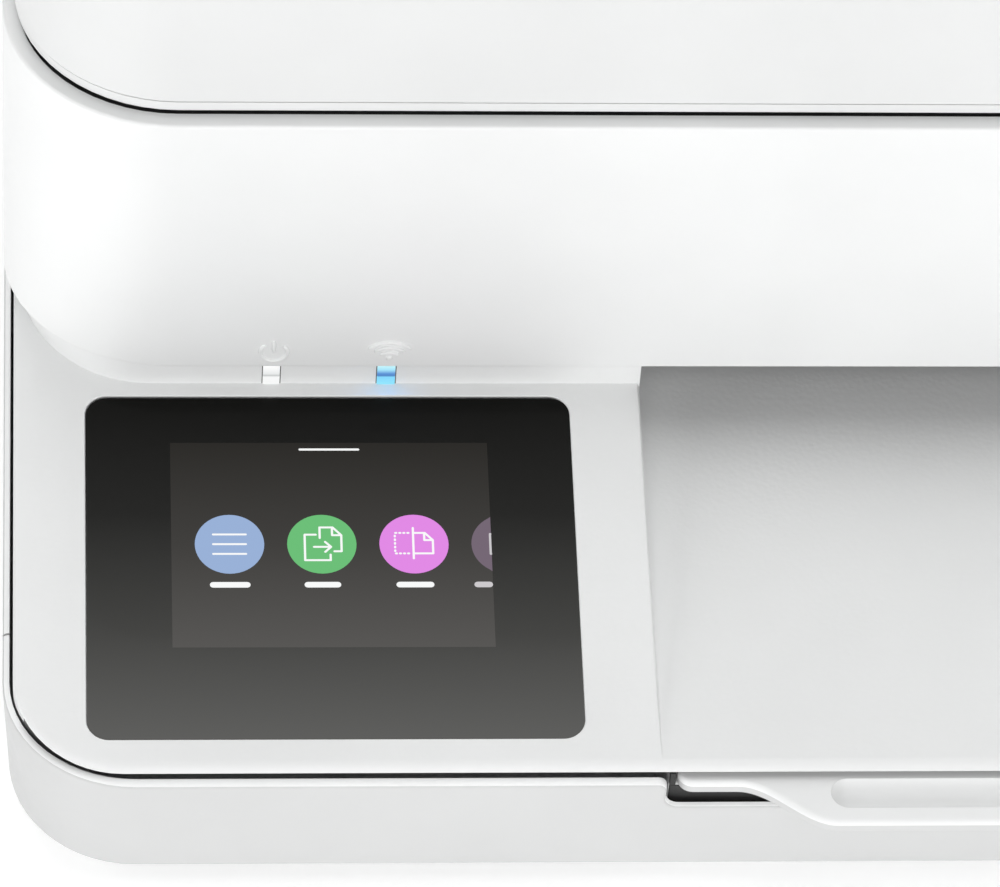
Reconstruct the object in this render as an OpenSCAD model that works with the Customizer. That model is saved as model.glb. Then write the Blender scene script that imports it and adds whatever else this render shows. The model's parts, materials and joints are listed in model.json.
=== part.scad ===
// Home inkjet all-in-one: print engine and paper tray below, flatbed scanner that lifts for ink
// access, and a lid with a document feeder. Front faces -Y, width runs along X, Z is up.
// Origin: centre of the footprint, on the surface that the feet stand on.

/* [Body] */
// Width across the side walls
body_w = 435; // [430:1:440]
// Depth of the base, from the tray front to the back wall
base_d = 351; // [350:1:353]
// How far the output extender's lip stands in front of the tray front
lip_reach = 8; // [7:0.5:9]
// How far the lid hinge barrels stand behind the back wall
hinge_reach = 7; // [7:0.5:8]
// Height of the feet
foot_h = 2.5; // [2:0.5:3]
// Height of the base rim above the ground
rim_z = 22.8; // [22.8:0.1:23]
// Plan radius of the base corners
base_r = 20; // [16:1:24]
// Wall thickness of the moulded shells
wall = 2.4; // [2.2:0.1:2.6]

/* [Control panel] */
// Height of the panel's front edge
lip_z = 24.8; // [24.8:0.1:25]
// Tilt of the panel towards the user
panel_tilt = 7; // [6.5:0.5:7.5]
// Left edge of the output bay
bay_left = -120; // [-121:1:-119]
// Right edge of the output bay
bay_right = 130; // [129:1:131]
// Width of the display glass
glass_w = 75; // [70:0.5:76]
// Length of the display glass along the slope
glass_l = 61.5; // [60:0.1:62]

/* [Scanner unit] */
// Height of the scanner unit's lower edge
scan_z0 = 39.3; // [39.3:0.1:39.8]
// Height of the scanner unit's top rim
scan_z1 = 96; // [95.8:0.1:96.2]
// Plan radius of the scanner unit's corners
scan_r = 26; // [24:1:28]
// Height of the lid's top face
lid_z1 = 128; // [127:1:129]
// Height of the top of the document feeder
top_z = 194; // [192:1:196]

/* [Print engine] */
// Height of the feed roller's axis
feed_z = 29; // [29:0.1:29.2]
// Radius of the feed roller
feed_r = 5.5; // [5.3:0.1:5.5]
// Radius of the carriage guide rod
rod_r = 4; // [3.5:0.1:4]
// Width of the print carriage
carriage_w = 92; // [88:1:92]
// Radial clearance of the shafts in their bores
fit = 0.05; // [0.02:0.01:0.1]

/* [Hidden] */
$fn = 48;

side_x = body_w / 2;
front_y = -(base_d + lip_reach + hinge_reach) / 2 + lip_reach;
back_y = front_y + base_d;
bay_mid = (bay_left + bay_right) / 2;

// The rim of the base is thin where the upper housing nests inside it.
rim_side = 1;
rim_front = 1.5;
rim_drop = 2.3;
case_side = 1.6;
case_front = 2.7;
case_z0 = rim_z - 1.9;
case_y0 = front_y + case_front;
lip_r = 1.5;
neck_y = front_y + 70.7;
neck_top = scan_z0 - 0.3;
shelf_z = 36.4;
deck_z = 33;
deck_y = back_y - 21;

// Tray parts, from the floor up.
tray_x0 = bay_left + 2.5;
tray_x1 = bay_right - 2.5;
tray_z0 = foot_h + 2.5;
tray_wall_z = 18;
fascia_back = front_y + 29;
notch_z = 18.4;
notch_gap = 0.5;
extender_z = 20.2;
extender_t = 2.2;

// Print engine, front to back.
feed_y = 22;
gear_m = 1;
feed_teeth = 32;
idler_teeth = 22;
pinion_teeth = 14;
eject_y = feed_y - gear_m * (feed_teeth + idler_teeth);
idler_y = feed_y - gear_m * (feed_teeth + idler_teeth) / 2;
pinion_angle = -22.5;
pinion_reach = gear_m * (feed_teeth + pinion_teeth) / 2;
pinion_y = feed_y + pinion_reach * cos(pinion_angle);
pinion_z = feed_z + pinion_reach * sin(pinion_angle);
gear_x = -188;
gear_t = 6;
left_plate_x = -180;
right_plate_x = 200;
plate_t = 2;
shaft_r = 3;
rod_y = 36;
rod_z = 54;
park_x = 150;
carriage_z = 41;
carriage_top = 66;
turn_y = 120;
turn_z = 24;
turn_r = 11;
pick_y = 78;
pick_z = 17.5;
pick_r = 8;
pulley_y = 56.5;
pulley_r = 5.5;
motor_pulley_x = 186;
idler_pulley_x = -166;
belt_z = 44;

// Hinges of the scanner unit and the lid.
lift_y = back_y - 6;
lift_z = scan_z0 - 3;
lift_r = 3;
lid_z0 = scan_z1 + 2.2;
lid_hinge_y = back_y + 2.5;
lid_hinge_z = scan_z1 + 3;
lid_hinge_r = hinge_reach - 2.5;
scan_y0 = front_y + 65.5;
lid_inset = 2;

// ---------------------------------------------------------------- shared shapes

// Rounded rectangle between two corners.
module plate_2d(x0, x1, y0, y1, r) {
    translate([x0 + r, y0]) square([x1 - x0 - 2 * r, y1 - y0]);
    translate([x0, y0 + r]) square([x1 - x0, y1 - y0 - 2 * r]);
    for (x = [x0 + r, x1 - r], y = [y0 + r, y1 - r])
        translate([x, y]) circle(r);
}

// Rounded upright slab between two heights.
module slab(x0, x1, y0, y1, z0, z1, r) {
    translate([0, 0, z0]) linear_extrude(z1 - z0) plate_2d(x0, x1, y0, y1, r);
}

// Plain block between two corners.
module block(low, high) {
    translate(low) cube(high - low);
}

// Round bar along X, along Y and along Z.
module bar_x(x0, x1, y, z, r) {
    translate([x0, y, z]) rotate([0, 90, 0]) cylinder(h = x1 - x0, r = r);
}
module bar_y(x, y0, y1, z, r) {
    translate([x, y0, z]) rotate([-90, 0, 0]) cylinder(h = y1 - y0, r = r);
}
module bar_z(x, y, z0, z1, r) {
    translate([x, y, z0]) cylinder(h = z1 - z0, r = r);
}

// Prism whose outline lies in the YZ plane, running from x0 to x1.
module prism_x(x0, x1, outline) {
    translate([x0, 0, 0]) rotate([90, 0, 90]) linear_extrude(x1 - x0) polygon(outline);
}

// Base outline, moved in by side on the left and right and by front at the front and back.
module body_slab(side, front, z0, z1) {
    slab(-side_x + side, side_x - side, front_y + front, back_y - front, z0, z1, base_r - side);
}

// Scanner unit outline, moved in all round.
module scan_slab(inset, z0, z1) {
    slab(-side_x + inset, side_x - inset, scan_y0 + inset, back_y - inset, z0, z1, scan_r - inset);
}

// Moves its children onto the control panel: y runs up the slope from the front lip, z is out of it.
module on_panel() {
    translate([0, case_y0 + lip_r, lip_z]) rotate([panel_tilt, 0, 0]) children();
}

// Involute gear of n teeth on the X axis, with a tooth at angle first from +Y towards +Z.
function spread(rb, r) = r <= rb ? 0 : tan(acos(rb / r)) * 180 / PI - acos(rb / r);
function flank(n, r, play) =
    let (rp = n * gear_m / 2, rb = rp * cos(20)) 90 / n - play + spread(rb, rp) - spread(rb, r);
function gear_outline(n, first, play = 0.5) =
    let (rp = n * gear_m / 2, rb = rp * cos(20), root = rp - 1.2 * gear_m, tip = rp + 0.85 * gear_m,
         steps = [root, max(root, rb), rp, (rp + tip) / 2, tip])
    [for (i = [0:n - 1], side = [-1, 1], k = [0:4])
        let (r = steps[side < 0 ? k : 4 - k], a = first + 360 * i / n + side * flank(n, r, play))
            r * [cos(a), sin(a)]];
module gear_x_axis(x0, y, z, n, first) {
    translate([x0, y, z]) rotate([90, 0, 90]) linear_extrude(gear_t) polygon(gear_outline(n, first));
}

// ---------------------------------------------------------------- base and upper housing

// Floor and side walls of the machine, open at the front for the tray.
module base_shell() {
    floor_z = foot_h + 2;
    color("white") {
        difference() {
            union() {
                intersection() {
                    difference() {
                        body_slab(0, 0, foot_h, rim_z);
                        body_slab(wall, wall, floor_z, rim_z - rim_drop);
                        body_slab(rim_side, rim_front, rim_z - rim_drop - 0.1, rim_z + 1);
                    }
                    block([-side_x, fascia_back + 0.4, 0], [side_x, back_y, rim_z + 1]);
                }
                body_slab(wall + 1.2, wall + 1.2, foot_h, floor_z);
            }
            block([-170, back_y - 5, 5.5], [-146, back_y + 1, 20.5]);
            block([-118, back_y - 5, 6], [-105, back_y + 1, 18]);
            for (x = [150, 172])
                bar_y(x, back_y - 5, back_y + 1, 13, 4 + 0.1);
        }
        for (x = [bay_left - 0.5, bay_right + 0.5], y = [-135, -45, 45])
            block([x - 0.8, y, floor_z], [x + 0.8, y + 60, 14]);
    }
}

// Four soft round feet.
module rubber_feet() {
    color("dimgray")
        for (x = [-1, 1], y = [-1, 1])
            bar_z(x * (side_x - 30), (front_y + back_y) / 2 + y * (base_d / 2 - 32), 0, foot_h, 9);
}

// Side profile of the upper housing: front lip, tilted panel, shelf under the scanner, rear deck.
function case_profile(drop) =
    let (top = shelf_z - drop, slope = tan(panel_tilt), y0 = case_y0 + lip_r, z0 = lip_z - drop)
    [[case_y0 - 1, case_z0 - drop], [case_y0 - 1, z0 - lip_r / 2], [y0, z0],
     [y0 + (shelf_z - lip_z) / slope, top], [deck_y, top], [deck_y, deck_z - drop],
     [back_y, deck_z - drop], [back_y, case_z0 - drop]];

module case_solid(inset, drop) {
    intersection() {
        body_slab(case_side + inset, case_front + inset, case_z0 - drop, shelf_z);
        prism_x(-side_x, side_x, case_profile(drop));
    }
}

// Upper housing: control panel, floor of the output bay, and the recessed neck under the scanner.
module top_case() {
    neck_inset = 4;
    color("whitesmoke") {
        difference() {
            union() {
                difference() {
                    case_solid(0, 0);
                    case_solid(2, 2);
                }
                intersection() {
                    difference() {
                        scan_slab(neck_inset, deck_z - 2, neck_top);
                        scan_slab(neck_inset + 2, 0, scan_z0 + 1);
                    }
                    block([-side_x, neck_y - 5, 0], [side_x, deck_y, scan_z0]);
                }
                block([-side_x + 5, deck_y - 2, deck_z - 3], [side_x - 5, deck_y, neck_top]);
                on_panel() block([-208.5, 3, -3.4], [bay_left - 1, glass_l + 4, -0.9]);
            }
            // Engine well behind the neck.
            slab(-side_x + 12, side_x - 12, neck_y + 8, deck_y - 2, 0, 60, 15);
            // The front lip ends above the path of the output extender.
            block([-side_x, case_y0 - 2, 0], [side_x, case_y0 + 14, extender_z + extender_t + 0.2]);
            // Output bay.
            block([bay_left, case_y0 - 2, 0], [bay_right, neck_y + 60, 60]);
            // Seat of the glass and the hole for the display behind it.
            on_panel() slab(glass_x0, glass_x1, glass_t, glass_t + glass_l, -1.2, 3, 3.3);
            on_panel() block([glass_x0 + 10.5, glass_t + 14, -6], [glass_x1 - 10.5, glass_t + 55, 0]);
            for (w = lights)
                light_block(w, neck_y - 2, neck_y + 4);
        }
        // Bay floor and the cheeks either side of it.
        block([bay_left - 2, case_y0, lip_z - 2], [bay_right + 2, neck_y + 42, lip_z]);
        for (x = [bay_left - 2, bay_right])
            difference() {
                prism_x(x, x + 2, [[case_y0 + 1.5, lip_z], [neck_y + 42, lip_z], [neck_y + 42, shelf_z + 1],
                                   [neck_y, shelf_z + 1],
                                   [neck_y, lip_z + (neck_y - case_y0 - lip_r) * tan(panel_tilt)]]);
                block([x - 1, neck_y + 8, shelf_z - 2], [x + 3, neck_y + 60, 60]);
            }
        // Fixed knuckles that the scanner unit hinges on.
        for (x = [-150, 150], side = [-1, 1])
            difference() {
                union() {
                    bar_x(x + side * 12 - 4, x + side * 12 + 4, lift_y, lift_z, lift_r);
                    block([x + side * 12 - 4, lift_y - lift_r, deck_z - 1],
                          [x + side * 12 + 4, lift_y + lift_r, lift_z]);
                }
                bar_x(x + side * 12 - 5, x + side * 12 + 5, lift_y, lift_z, 1.5 + fit);
            }
    }
}

glass_x0 = -side_x + 12.6;
glass_x1 = glass_x0 + glass_w;
glass_t = 3.0;
lights = [[-side_x + 41.4, 2.6], [-side_x + 59.2, 2.8]];

// Touch glass over the display.
module display_glass() {
    color([0.1, 0.1, 0.1])
        on_panel() slab(glass_x0, glass_x1, glass_t, glass_t + glass_l, -1.2, 0, 3.3);
}

// Colour display in its metal frame, under the glass.
module lcd_module() {
    color("dimgray")
        on_panel() block([glass_x0 + 10.7, glass_t + 14.2, -5], [glass_x1 - 10.7, glass_t + 54.8, -1.2]);
}

// Two clear pieces that carry the power and wireless lights through the neck.
module indicator_light_pipes() {
    color("lightcyan")
        for (w = lights)
            light_block(w, neck_y - 0.3, neck_y + 3);
}

// Block as wide as one indicator light, between two depths.
module light_block(light, y0, y1) {
    half = light[1] / 2;
    block([light[0] - half, y0, shelf_z - 3.2], [light[0] + half, y1, neck_top - 0.2]);
}

// ---------------------------------------------------------------- fixed engine parts

// Pressed-steel frame: two side plates, the rear beam and the roller bracket.
module engine_chassis() {
    color("silver") {
        difference() {
            union() {
                for (x = [left_plate_x, right_plate_x])
                    block([x, -40, foot_h + 2], [x + plate_t, 72, 60]);
                block([left_plate_x, 72, 40], [right_plate_x + plate_t, 74, 64]);
            }
            for (x = [left_plate_x, right_plate_x])
                bar_x(x - 1, x + 3, rod_y, rod_z, rod_r);
            bar_x(left_plate_x - 1, left_plate_x + 3, feed_y, feed_z, shaft_r + fit);
            bar_x(left_plate_x - 1, left_plate_x + 3, eject_y, feed_z, shaft_r + fit);
            bar_x(left_plate_x - 1, left_plate_x + 3, pinion_y, pinion_z, 1.5 + fit);
            block([right_plate_x - 1, -41, 0], [right_plate_x + 3, 40, 38]);
        }
        bar_x(gear_x - 2, left_plate_x, idler_y, feed_z, 2);
        block([left_plate_x + plate_t, pulley_y - 7, 34.5], [idler_pulley_x + 7, pulley_y + 7, 36]);
        difference() {
            block([136, -40, foot_h + 2], [138, 40, 34.6]);
            for (y = [feed_y, eject_y])
                bar_x(135, 139, y, feed_z, shaft_r + fit);
            block([135, -20, 0], [139, 14, 20]);
        }
    }
}

// Polished rod that the carriage slides on.
module guide_rod() {
    color("lightgray") bar_x(left_plate_x, right_plate_x + plate_t, rod_y, rod_z, rod_r);
}

// Ribbed paper support under the print heads.
module platen() {
    color([0.15, 0.15, 0.16]) {
        block([left_plate_x + plate_t, -24, 26], [136, 14, 31]);
        for (i = [0:16])
            block([-116 + i * 15, -22, 31], [-114 + i * 15, 12, 33.5]);
    }
}

// Curved guide that turns the paper over behind the tray.
module paper_turn_guide() {
    inner = turn_r + 3;
    color([0.15, 0.15, 0.16])
        difference() {
            union() {
                intersection() {
                    bar_x(-104, 114, turn_y, turn_z, inner + 2);
                    block([-105, turn_y, 8.2], [115, turn_y + 30, 60]);
                }
                for (x = [-106, 114])
                    block([x, turn_y - 6, 8.2], [x + 2, turn_y + 30, 34]);
                for (x = [-106, -20, 30, 112])
                    block([x, turn_y + 15, foot_h + 2], [x + 4, turn_y + 30, 34]);
            }
            bar_x(-104, 114, turn_y, turn_z, inner);
            bar_x(-107, 117, turn_y, turn_z, shaft_r + fit);
        }
}

// Spring plate and end blocks that hold the pinch rollers on the feed roller.
module pinch_frame() {
    color([0.2, 0.2, 0.22])
        difference() {
            union() {
                block([-118, 29, 36.2], [128, 72, 37.8]);
                block([-118, 70.5, 36.2], [128, 72, 46]);
                for (x = [-121, 128])
                    block([x, 20, 35], [x + 3, 62, 39]);
            }
            bar_x(-122, 132, feed_y + 1, pinch_z, 1 + fit);
        }
}
pinch_r = 2.3;
pinch_z = feed_z + feed_r + pinch_r + 0.1;

// Rail that carries the star wheels over the eject roller.
module exit_rail() {
    color([0.2, 0.2, 0.22])
        difference() {
            union() {
                block([left_plate_x + plate_t, -46, 34.5], [136, -39, 38]);
                for (x = [-121, 128])
                    block([x, -46, 34.5], [x + 3, -29, 38.5]);
            }
            bar_x(-122, 132, eject_y, star_z, 1 + fit);
        }
}
star_r = 3;
eject_r = 4.5;
star_z = feed_z + eject_r + star_r + 0.1;

// Toothed belt round the two pulleys.
module drive_belt() {
    outer = pulley_r + 1.2;
    inner = pulley_r + 0.2;
    color([0.12, 0.12, 0.12])
        translate([0, 0, belt_z])
            linear_extrude(5)
                difference() {
                    union() {
                        translate([idler_pulley_x, pulley_y - outer])
                            square([motor_pulley_x - idler_pulley_x, 2 * outer]);
                        for (x = [idler_pulley_x, motor_pulley_x])
                            translate([x, pulley_y]) circle(outer);
                    }
                    translate([idler_pulley_x, pulley_y - inner])
                        square([motor_pulley_x - idler_pulley_x, 2 * inner]);
                    for (x = [idler_pulley_x, motor_pulley_x])
                        translate([x, pulley_y]) circle(inner);
                }
}

// Motor of the carriage, upright under its pulley.
module carriage_motor() {
    color("gray") {
        bar_z(motor_pulley_x, pulley_y, 12, 38, 13);
        bar_z(motor_pulley_x, pulley_y, 38, 40, 4);
        block([motor_pulley_x - 13, pulley_y - 2, foot_h + 2], [motor_pulley_x + 13, pulley_y + 2, 12]);
    }
}

// Motor of the paper feed, inside the left plate.
module feed_motor() {
    color("gray") {
        bar_x(left_plate_x + plate_t, -150, pinion_y, pinion_z, 10.5);
        block([-172, pinion_y - 5, foot_h + 2], [-156, pinion_y + 5, pinion_z - 9.4]);
    }
}

// Main circuit board with its chips and sockets, on pillars.
module main_board() {
    color("darkgreen") block([-208, -140, 9], [-128, -52, 10.6]);
    color([0.1, 0.1, 0.1]) {
        block([-185, -110, 10.6], [-163, -88, 12.8]);
        block([-155, -125, 10.6], [-141, -115, 12.4]);
        block([-150, -90, 10.6], [-136, -72, 12]);
    }
    color("ivory")
        for (y = [-132, -80, -68])
            block([-205, y, 10.6], [-190, y + 7, 16]);
    color("goldenrod")
        for (x = [-204, -132], y = [-136, -56])
            bar_z(x, y, foot_h + 2, 9, 2.5);
}

// Enclosed mains power supply.
module power_supply() {
    color([0.14, 0.14, 0.15])
        difference() {
            slab(-206, -132, 84, 152, foot_h + 2, 28, 3);
            for (i = [0:9])
                block([-199 + i * 6.5, 92, 27], [-196 + i * 6.5, 144, 29]);
        }
}

// Tub of the service station, where the carriage parks.
module service_tub() {
    color([0.2, 0.2, 0.22])
        difference() {
            block([141, -48, foot_h + 2], [197, 36, 26]);
            block([143, -46, foot_h + 4], [195, 34, 27]);
        }
}

// Mains inlet in the back wall.
module power_inlet() {
    color([0.1, 0.1, 0.1])
        difference() {
            block([-170, back_y - 16, 5.5], [-146, back_y - 0.5, 20.5]);
            block([-167.5, back_y - 12, 8.5], [-148.5, back_y, 17.5]);
        }
    color("gold")
        for (x = [-162, -154])
            bar_y(x, back_y - 12, back_y - 3, 13, 1.2);
}

// Square data socket in the back wall.
module usb_port() {
    color("silver")
        difference() {
            block([-118, back_y - 16, 6], [-105, back_y - 0.5, 18]);
            block([-117, back_y - 12, 7], [-106, back_y, 17]);
        }
    color([0.1, 0.1, 0.1]) block([-114.5, back_y - 12, 9.5], [-108.5, back_y - 3, 12]);
}

// Screws through the feet of the chassis plates.
module chassis_screws() {
    color("gainsboro")
        for (x = [left_plate_x - 6, right_plate_x + plate_t + 1.5], y = [-33, 64])
            translate([x, y, 8]) rotate([0, 90, 0]) {
                difference() {
                    cylinder(h = 2.2, r = 3);
                    translate([-2, -0.4, 1.4 * (x < 0 ? -1 : 1)]) cube([4, 0.8, 1.8]);
                }
            }
}

// Sled with the rubber caps and the wiper.
module service_sled() {
    color([0.2, 0.2, 0.22]) block([146, -28, 10], [192, 22, 30]);
    color([0.3, 0.5, 0.6])
        for (x = [-1, 1])
            slab(park_x + 19 + x * 10.5 - 8, park_x + 19 + x * 10.5 + 8, -14, 12, 30, 33.2, 2);
    color([0.5, 0.5, 0.5]) block([152, -25, 30], [186, -23.5, 34]);
}

// ---------------------------------------------------------------- paper tray

// Tray front, which wraps round both front corners of the base, with a notch for the extender.
module tray_fascia() {
    z0 = foot_h + 0.5;
    color("white")
        difference() {
            intersection() {
                difference() {
                    body_slab(0, 0, z0, rim_z);
                    body_slab(wall, wall, z0 - 1, rim_z - rim_drop);
                    body_slab(rim_side, rim_front, rim_z - rim_drop - 0.1, rim_z + 1);
                }
                block([-side_x, front_y, z0], [side_x, fascia_back, rim_z]);
            }
            block([bay_left + notch_gap, front_y - 1, notch_z],
                  [bay_right - notch_gap, front_y + 10, rim_z + 1]);
        }
}

// Pan that holds the paper, with the deck over its front end that the extender slides on.
module tray_pan() {
    pan_y0 = front_y + wall;
    pan_y1 = turn_y + 13;
    color("white") {
        difference() {
            block([tray_x0, pan_y0, tray_z0], [tray_x1, pan_y1, tray_wall_z]);
            block([tray_x0 + 2, pan_y0 + 2, tray_z0 + 2], [tray_x1 - 2, pan_y1 + 1, tray_wall_z + 1]);
            block([pinion_x - 7, guide_y - 7, tray_z0 + 1], [pinion_x + 7, guide_y + 7, tray_z0 + 3]);
        }
        block([tray_x0, pan_y0, tray_wall_z], [tray_x1, front_y + 100, extender_z - 0.2]);
        bar_z(pinion_x, guide_y, tray_z0 + 1, tray_z0 + 5, 1.5);
    }
}
guide_y = -10;
pinion_x = bay_mid;
guide_teeth = 12;
guide_rest = 102;

// Toothed strip along X, dir = 1 with its teeth towards +Y, for the paper guides.
module rack(x0, teeth, y, dir, z0, z1) {
    pitch = PI * gear_m;
    foot = y + dir * 1.2 * gear_m;
    tip = y - dir * 0.8 * gear_m;
    translate([0, 0, z0])
        linear_extrude(z1 - z0)
            union() {
                translate([x0 - pitch / 2, min(foot, foot + dir * 3)]) square([(teeth + 0.5) * pitch, 3]);
                for (i = [0:teeth - 1])
                    translate([x0 + i * pitch, 0])
                        polygon([[-1.05, foot + dir * 0.1], [1.05, foot + dir * 0.1],
                                 [0.35, tip], [-0.35, tip]]);
            }
}

// Upright of a paper guide with its two soles, on the floor of the tray.
// A window low in the upright lets the rack of the other guide through.
module guide_upright(x, dir) {
    floor_z = tray_z0 + 2.1;
    sole = 14;
    window = [guide_y + dir * 4.5, guide_y + dir * 11];
    difference() {
        block([x - 1, guide_y - 50, floor_z], [x + 1, guide_y + 50, 17.5]);
        block([x - 2, min(window), floor_z - 1], [x + 2, max(window), floor_z + 2.6]);
    }
    for (y = [guide_y - 30, guide_y + 12])
        block([min(x, x + dir * sole), y, floor_z], [max(x, x + dir * sole), y + 18, floor_z + 1.6]);
}

// Left paper guide, whose rack passes in front of the pinion.
module left_paper_guide() {
    rack_y = guide_y - gear_m * guide_teeth / 2;
    color("gainsboro") {
        guide_upright(pinion_x - guide_rest, 1);
        rack(pinion_x - 30 * PI, 34, rack_y, -1, tray_z0 + 2.1, tray_z0 + 4.4);
        block([pinion_x - guide_rest, rack_y - 4.2, tray_z0 + 2.1],
              [pinion_x - 30 * PI, rack_y - 1.2, tray_z0 + 4.4]);
    }
}

// Right paper guide, whose rack passes behind the pinion.
module right_paper_guide() {
    rack_y = guide_y + gear_m * guide_teeth / 2;
    color("gainsboro") {
        guide_upright(pinion_x + guide_rest, -1);
        rack(pinion_x - 3 * PI, 34, rack_y, 1, tray_z0 + 2.1, tray_z0 + 4.4);
        block([pinion_x + 30 * PI, rack_y + 1.2, tray_z0 + 2.1],
              [pinion_x + guide_rest, rack_y + 4.2, tray_z0 + 4.4]);
    }
}

// Pinion that keeps the two paper guides level with each other.
module guide_pinion() {
    color("khaki")
        translate([pinion_x, guide_y, tray_z0 + 2.1])
            linear_extrude(2.3)
                difference() {
                    polygon(gear_outline(guide_teeth, 270 + 180 / guide_teeth, 1));
                    circle(1.5 + fit);
                }
}

// Stop for the near edge of the paper.
module length_guide() {
    floor_z = tray_z0 + 2.1;
    color("gainsboro") {
        block([bay_mid - 12, front_y + 12, floor_z], [bay_mid + 12, front_y + 14, 17.5]);
        block([bay_mid - 12, front_y + 5, floor_z], [bay_mid + 12, front_y + 14, floor_z + 2]);
    }
}

// Front edge of the extender: an S-curve at each end steps it forward from the tray front.
function s_curve(t) = (1 - cos(180 * t)) / 2;
module output_extender() {
    x0 = bay_left + 3;
    x1 = bay_right - 3;
    step_a = 9;
    step_b = 21;
    steps = 12;
    y_in = front_y + 0.2;
    reach = lip_reach + 0.2;
    left = [for (i = [0:steps])
        [x0 + step_a + (step_b - step_a) * i / steps, y_in - reach * s_curve(i / steps)]];
    right = [for (i = [steps:-1:0]) [x0 + x1 - left[i][0], left[i][1]]];
    groove_r = 4.7;
    groove_d = 0.9;
    groove_y = front_y - 1.6;
    groove_z = extender_z + extender_t + groove_r - groove_d;
    color("white")
        difference() {
            translate([0, 0, extender_z])
                linear_extrude(extender_t)
                    polygon(concat([[x0 + 2, y_in]], left, right, [[x1 - 2, y_in], [x1, y_in + 2],
                                    [x1, front_y + 128], [x0, front_y + 128], [x0, y_in + 2]]));
            bar_x(x0 + step_b + 3, x1 - step_b - 3, groove_y, groove_z, groove_r);
            for (x = [x0 + step_b + 3, x1 - step_b - 3])
                translate([x, groove_y, groove_z]) sphere(groove_r);
        }
}

// ---------------------------------------------------------------- moving engine parts

// Steel shaft with rubber sleeves and the driven gear.
module feed_roller() {
    color("silver") bar_x(gear_x - 1, 138.5, feed_y, feed_z, shaft_r);
    color([0.2, 0.2, 0.2])
        difference() {
            for (x = [-95, -35, 25, 85])
                bar_x(x - 9, x + 19, feed_y, feed_z, feed_r);
            bar_x(-200, 200, feed_y, feed_z, shaft_r);
        }
    color("ivory")
        difference() {
            gear_x_axis(gear_x, feed_y, feed_z, feed_teeth, 180);
            bar_x(-200, -100, feed_y, feed_z, shaft_r);
        }
}

// Gear between the feed roller and the eject roller.
module idler_gear() {
    color("ivory")
        difference() {
            gear_x_axis(gear_x, idler_y, feed_z, idler_teeth, 180 / idler_teeth);
            bar_x(-200, -100, idler_y, feed_z, 2 + fit);
        }
}

// Shaft with rubber rings that pushes the sheet into the output bay.
module eject_roller() {
    color("silver") bar_x(gear_x - 1, 138.5, eject_y, feed_z, shaft_r);
    color([0.2, 0.2, 0.2])
        difference() {
            for (x = [-95:40:105])
                bar_x(x - 4, x + 4, eject_y, feed_z, eject_r);
            bar_x(-200, 200, eject_y, feed_z, shaft_r);
        }
    color("ivory")
        difference() {
            gear_x_axis(gear_x, eject_y, feed_z, feed_teeth, 0);
            bar_x(-200, -100, eject_y, feed_z, shaft_r);
        }
}

// Pinion on the feed motor's shaft.
module motor_pinion() {
    color("goldenrod") {
        gear_x_axis(gear_x, pinion_y, pinion_z, pinion_teeth, 180 + pinion_angle + 180 / pinion_teeth);
        bar_x(gear_x + gear_t, left_plate_x + plate_t, pinion_y, pinion_z, 1.5);
    }
}

// Free rollers that press the sheet onto the feed roller.
module pinch_rollers() {
    color([0.75, 0.75, 0.75]) {
        bar_x(-121, 131, feed_y + 1, pinch_z, 1);
        for (x = [-90, -30, 30, 90])
            bar_x(x - 8, x + 18, feed_y + 1, pinch_z, pinch_r);
    }
}

// Thin spiked wheels that hold the wet sheet down on the eject roller.
module star_wheels() {
    points = 16;
    color("silver") {
        bar_x(-121, 131, eject_y, star_z, 1);
        for (x = [-95:40:105])
            translate([x - 0.4, eject_y, star_z])
                rotate([90, 0, 90])
                    linear_extrude(0.8)
                        polygon([for (i = [0:2 * points - 1])
                            let (r = i % 2 == 0 ? star_r : star_r - 0.7, a = 180 * i / points)
                                r * [cos(a), sin(a)]]);
    }
}

// Drum that carries the sheet round from the tray to the feed roller.
module turn_roller() {
    color([0.25, 0.25, 0.25]) {
        bar_x(-106, 116, turn_y, turn_z, shaft_r);
        for (x = [-80, -20, 40, 100])
            bar_x(x - 20, x + 4, turn_y, turn_z, turn_r);
    }
}

// Arm that lets the pick roller rest on the stack, with its hinge pin.
pick_pivot_y = 46;
pick_pivot_z = 29;
module pick_arm() {
    drop = atan2(pick_pivot_z - pick_z, pick_y - pick_pivot_y);
    reach = norm([pick_y - pick_pivot_y, pick_pivot_z - pick_z]);
    color([0.2, 0.2, 0.22])
        difference() {
            union() {
                for (x = [-12, 21])
                    translate([x, pick_pivot_y, pick_pivot_z])
                        rotate([-drop, 0, 0]) {
                            translate([0, 0, -2.5]) cube([2, reach, 5]);
                            translate([0, reach, 0]) rotate([0, 90, 0]) cylinder(h = 2, r = 4);
                            rotate([0, 90, 0]) cylinder(h = 2, r = 4);
                        }
                bar_x(-26, 35, pick_pivot_y, pick_pivot_z, 2);
            }
            bar_x(-13, 24, pick_y, pick_z, 2 + fit);
        }
}

// Rubber roller that takes the top sheet.
module pick_roller() {
    color([0.2, 0.2, 0.2]) {
        bar_x(-12, 23, pick_y, pick_z, 2);
        bar_x(-8, 19, pick_y, pick_z, pick_r);
    }
}

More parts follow.
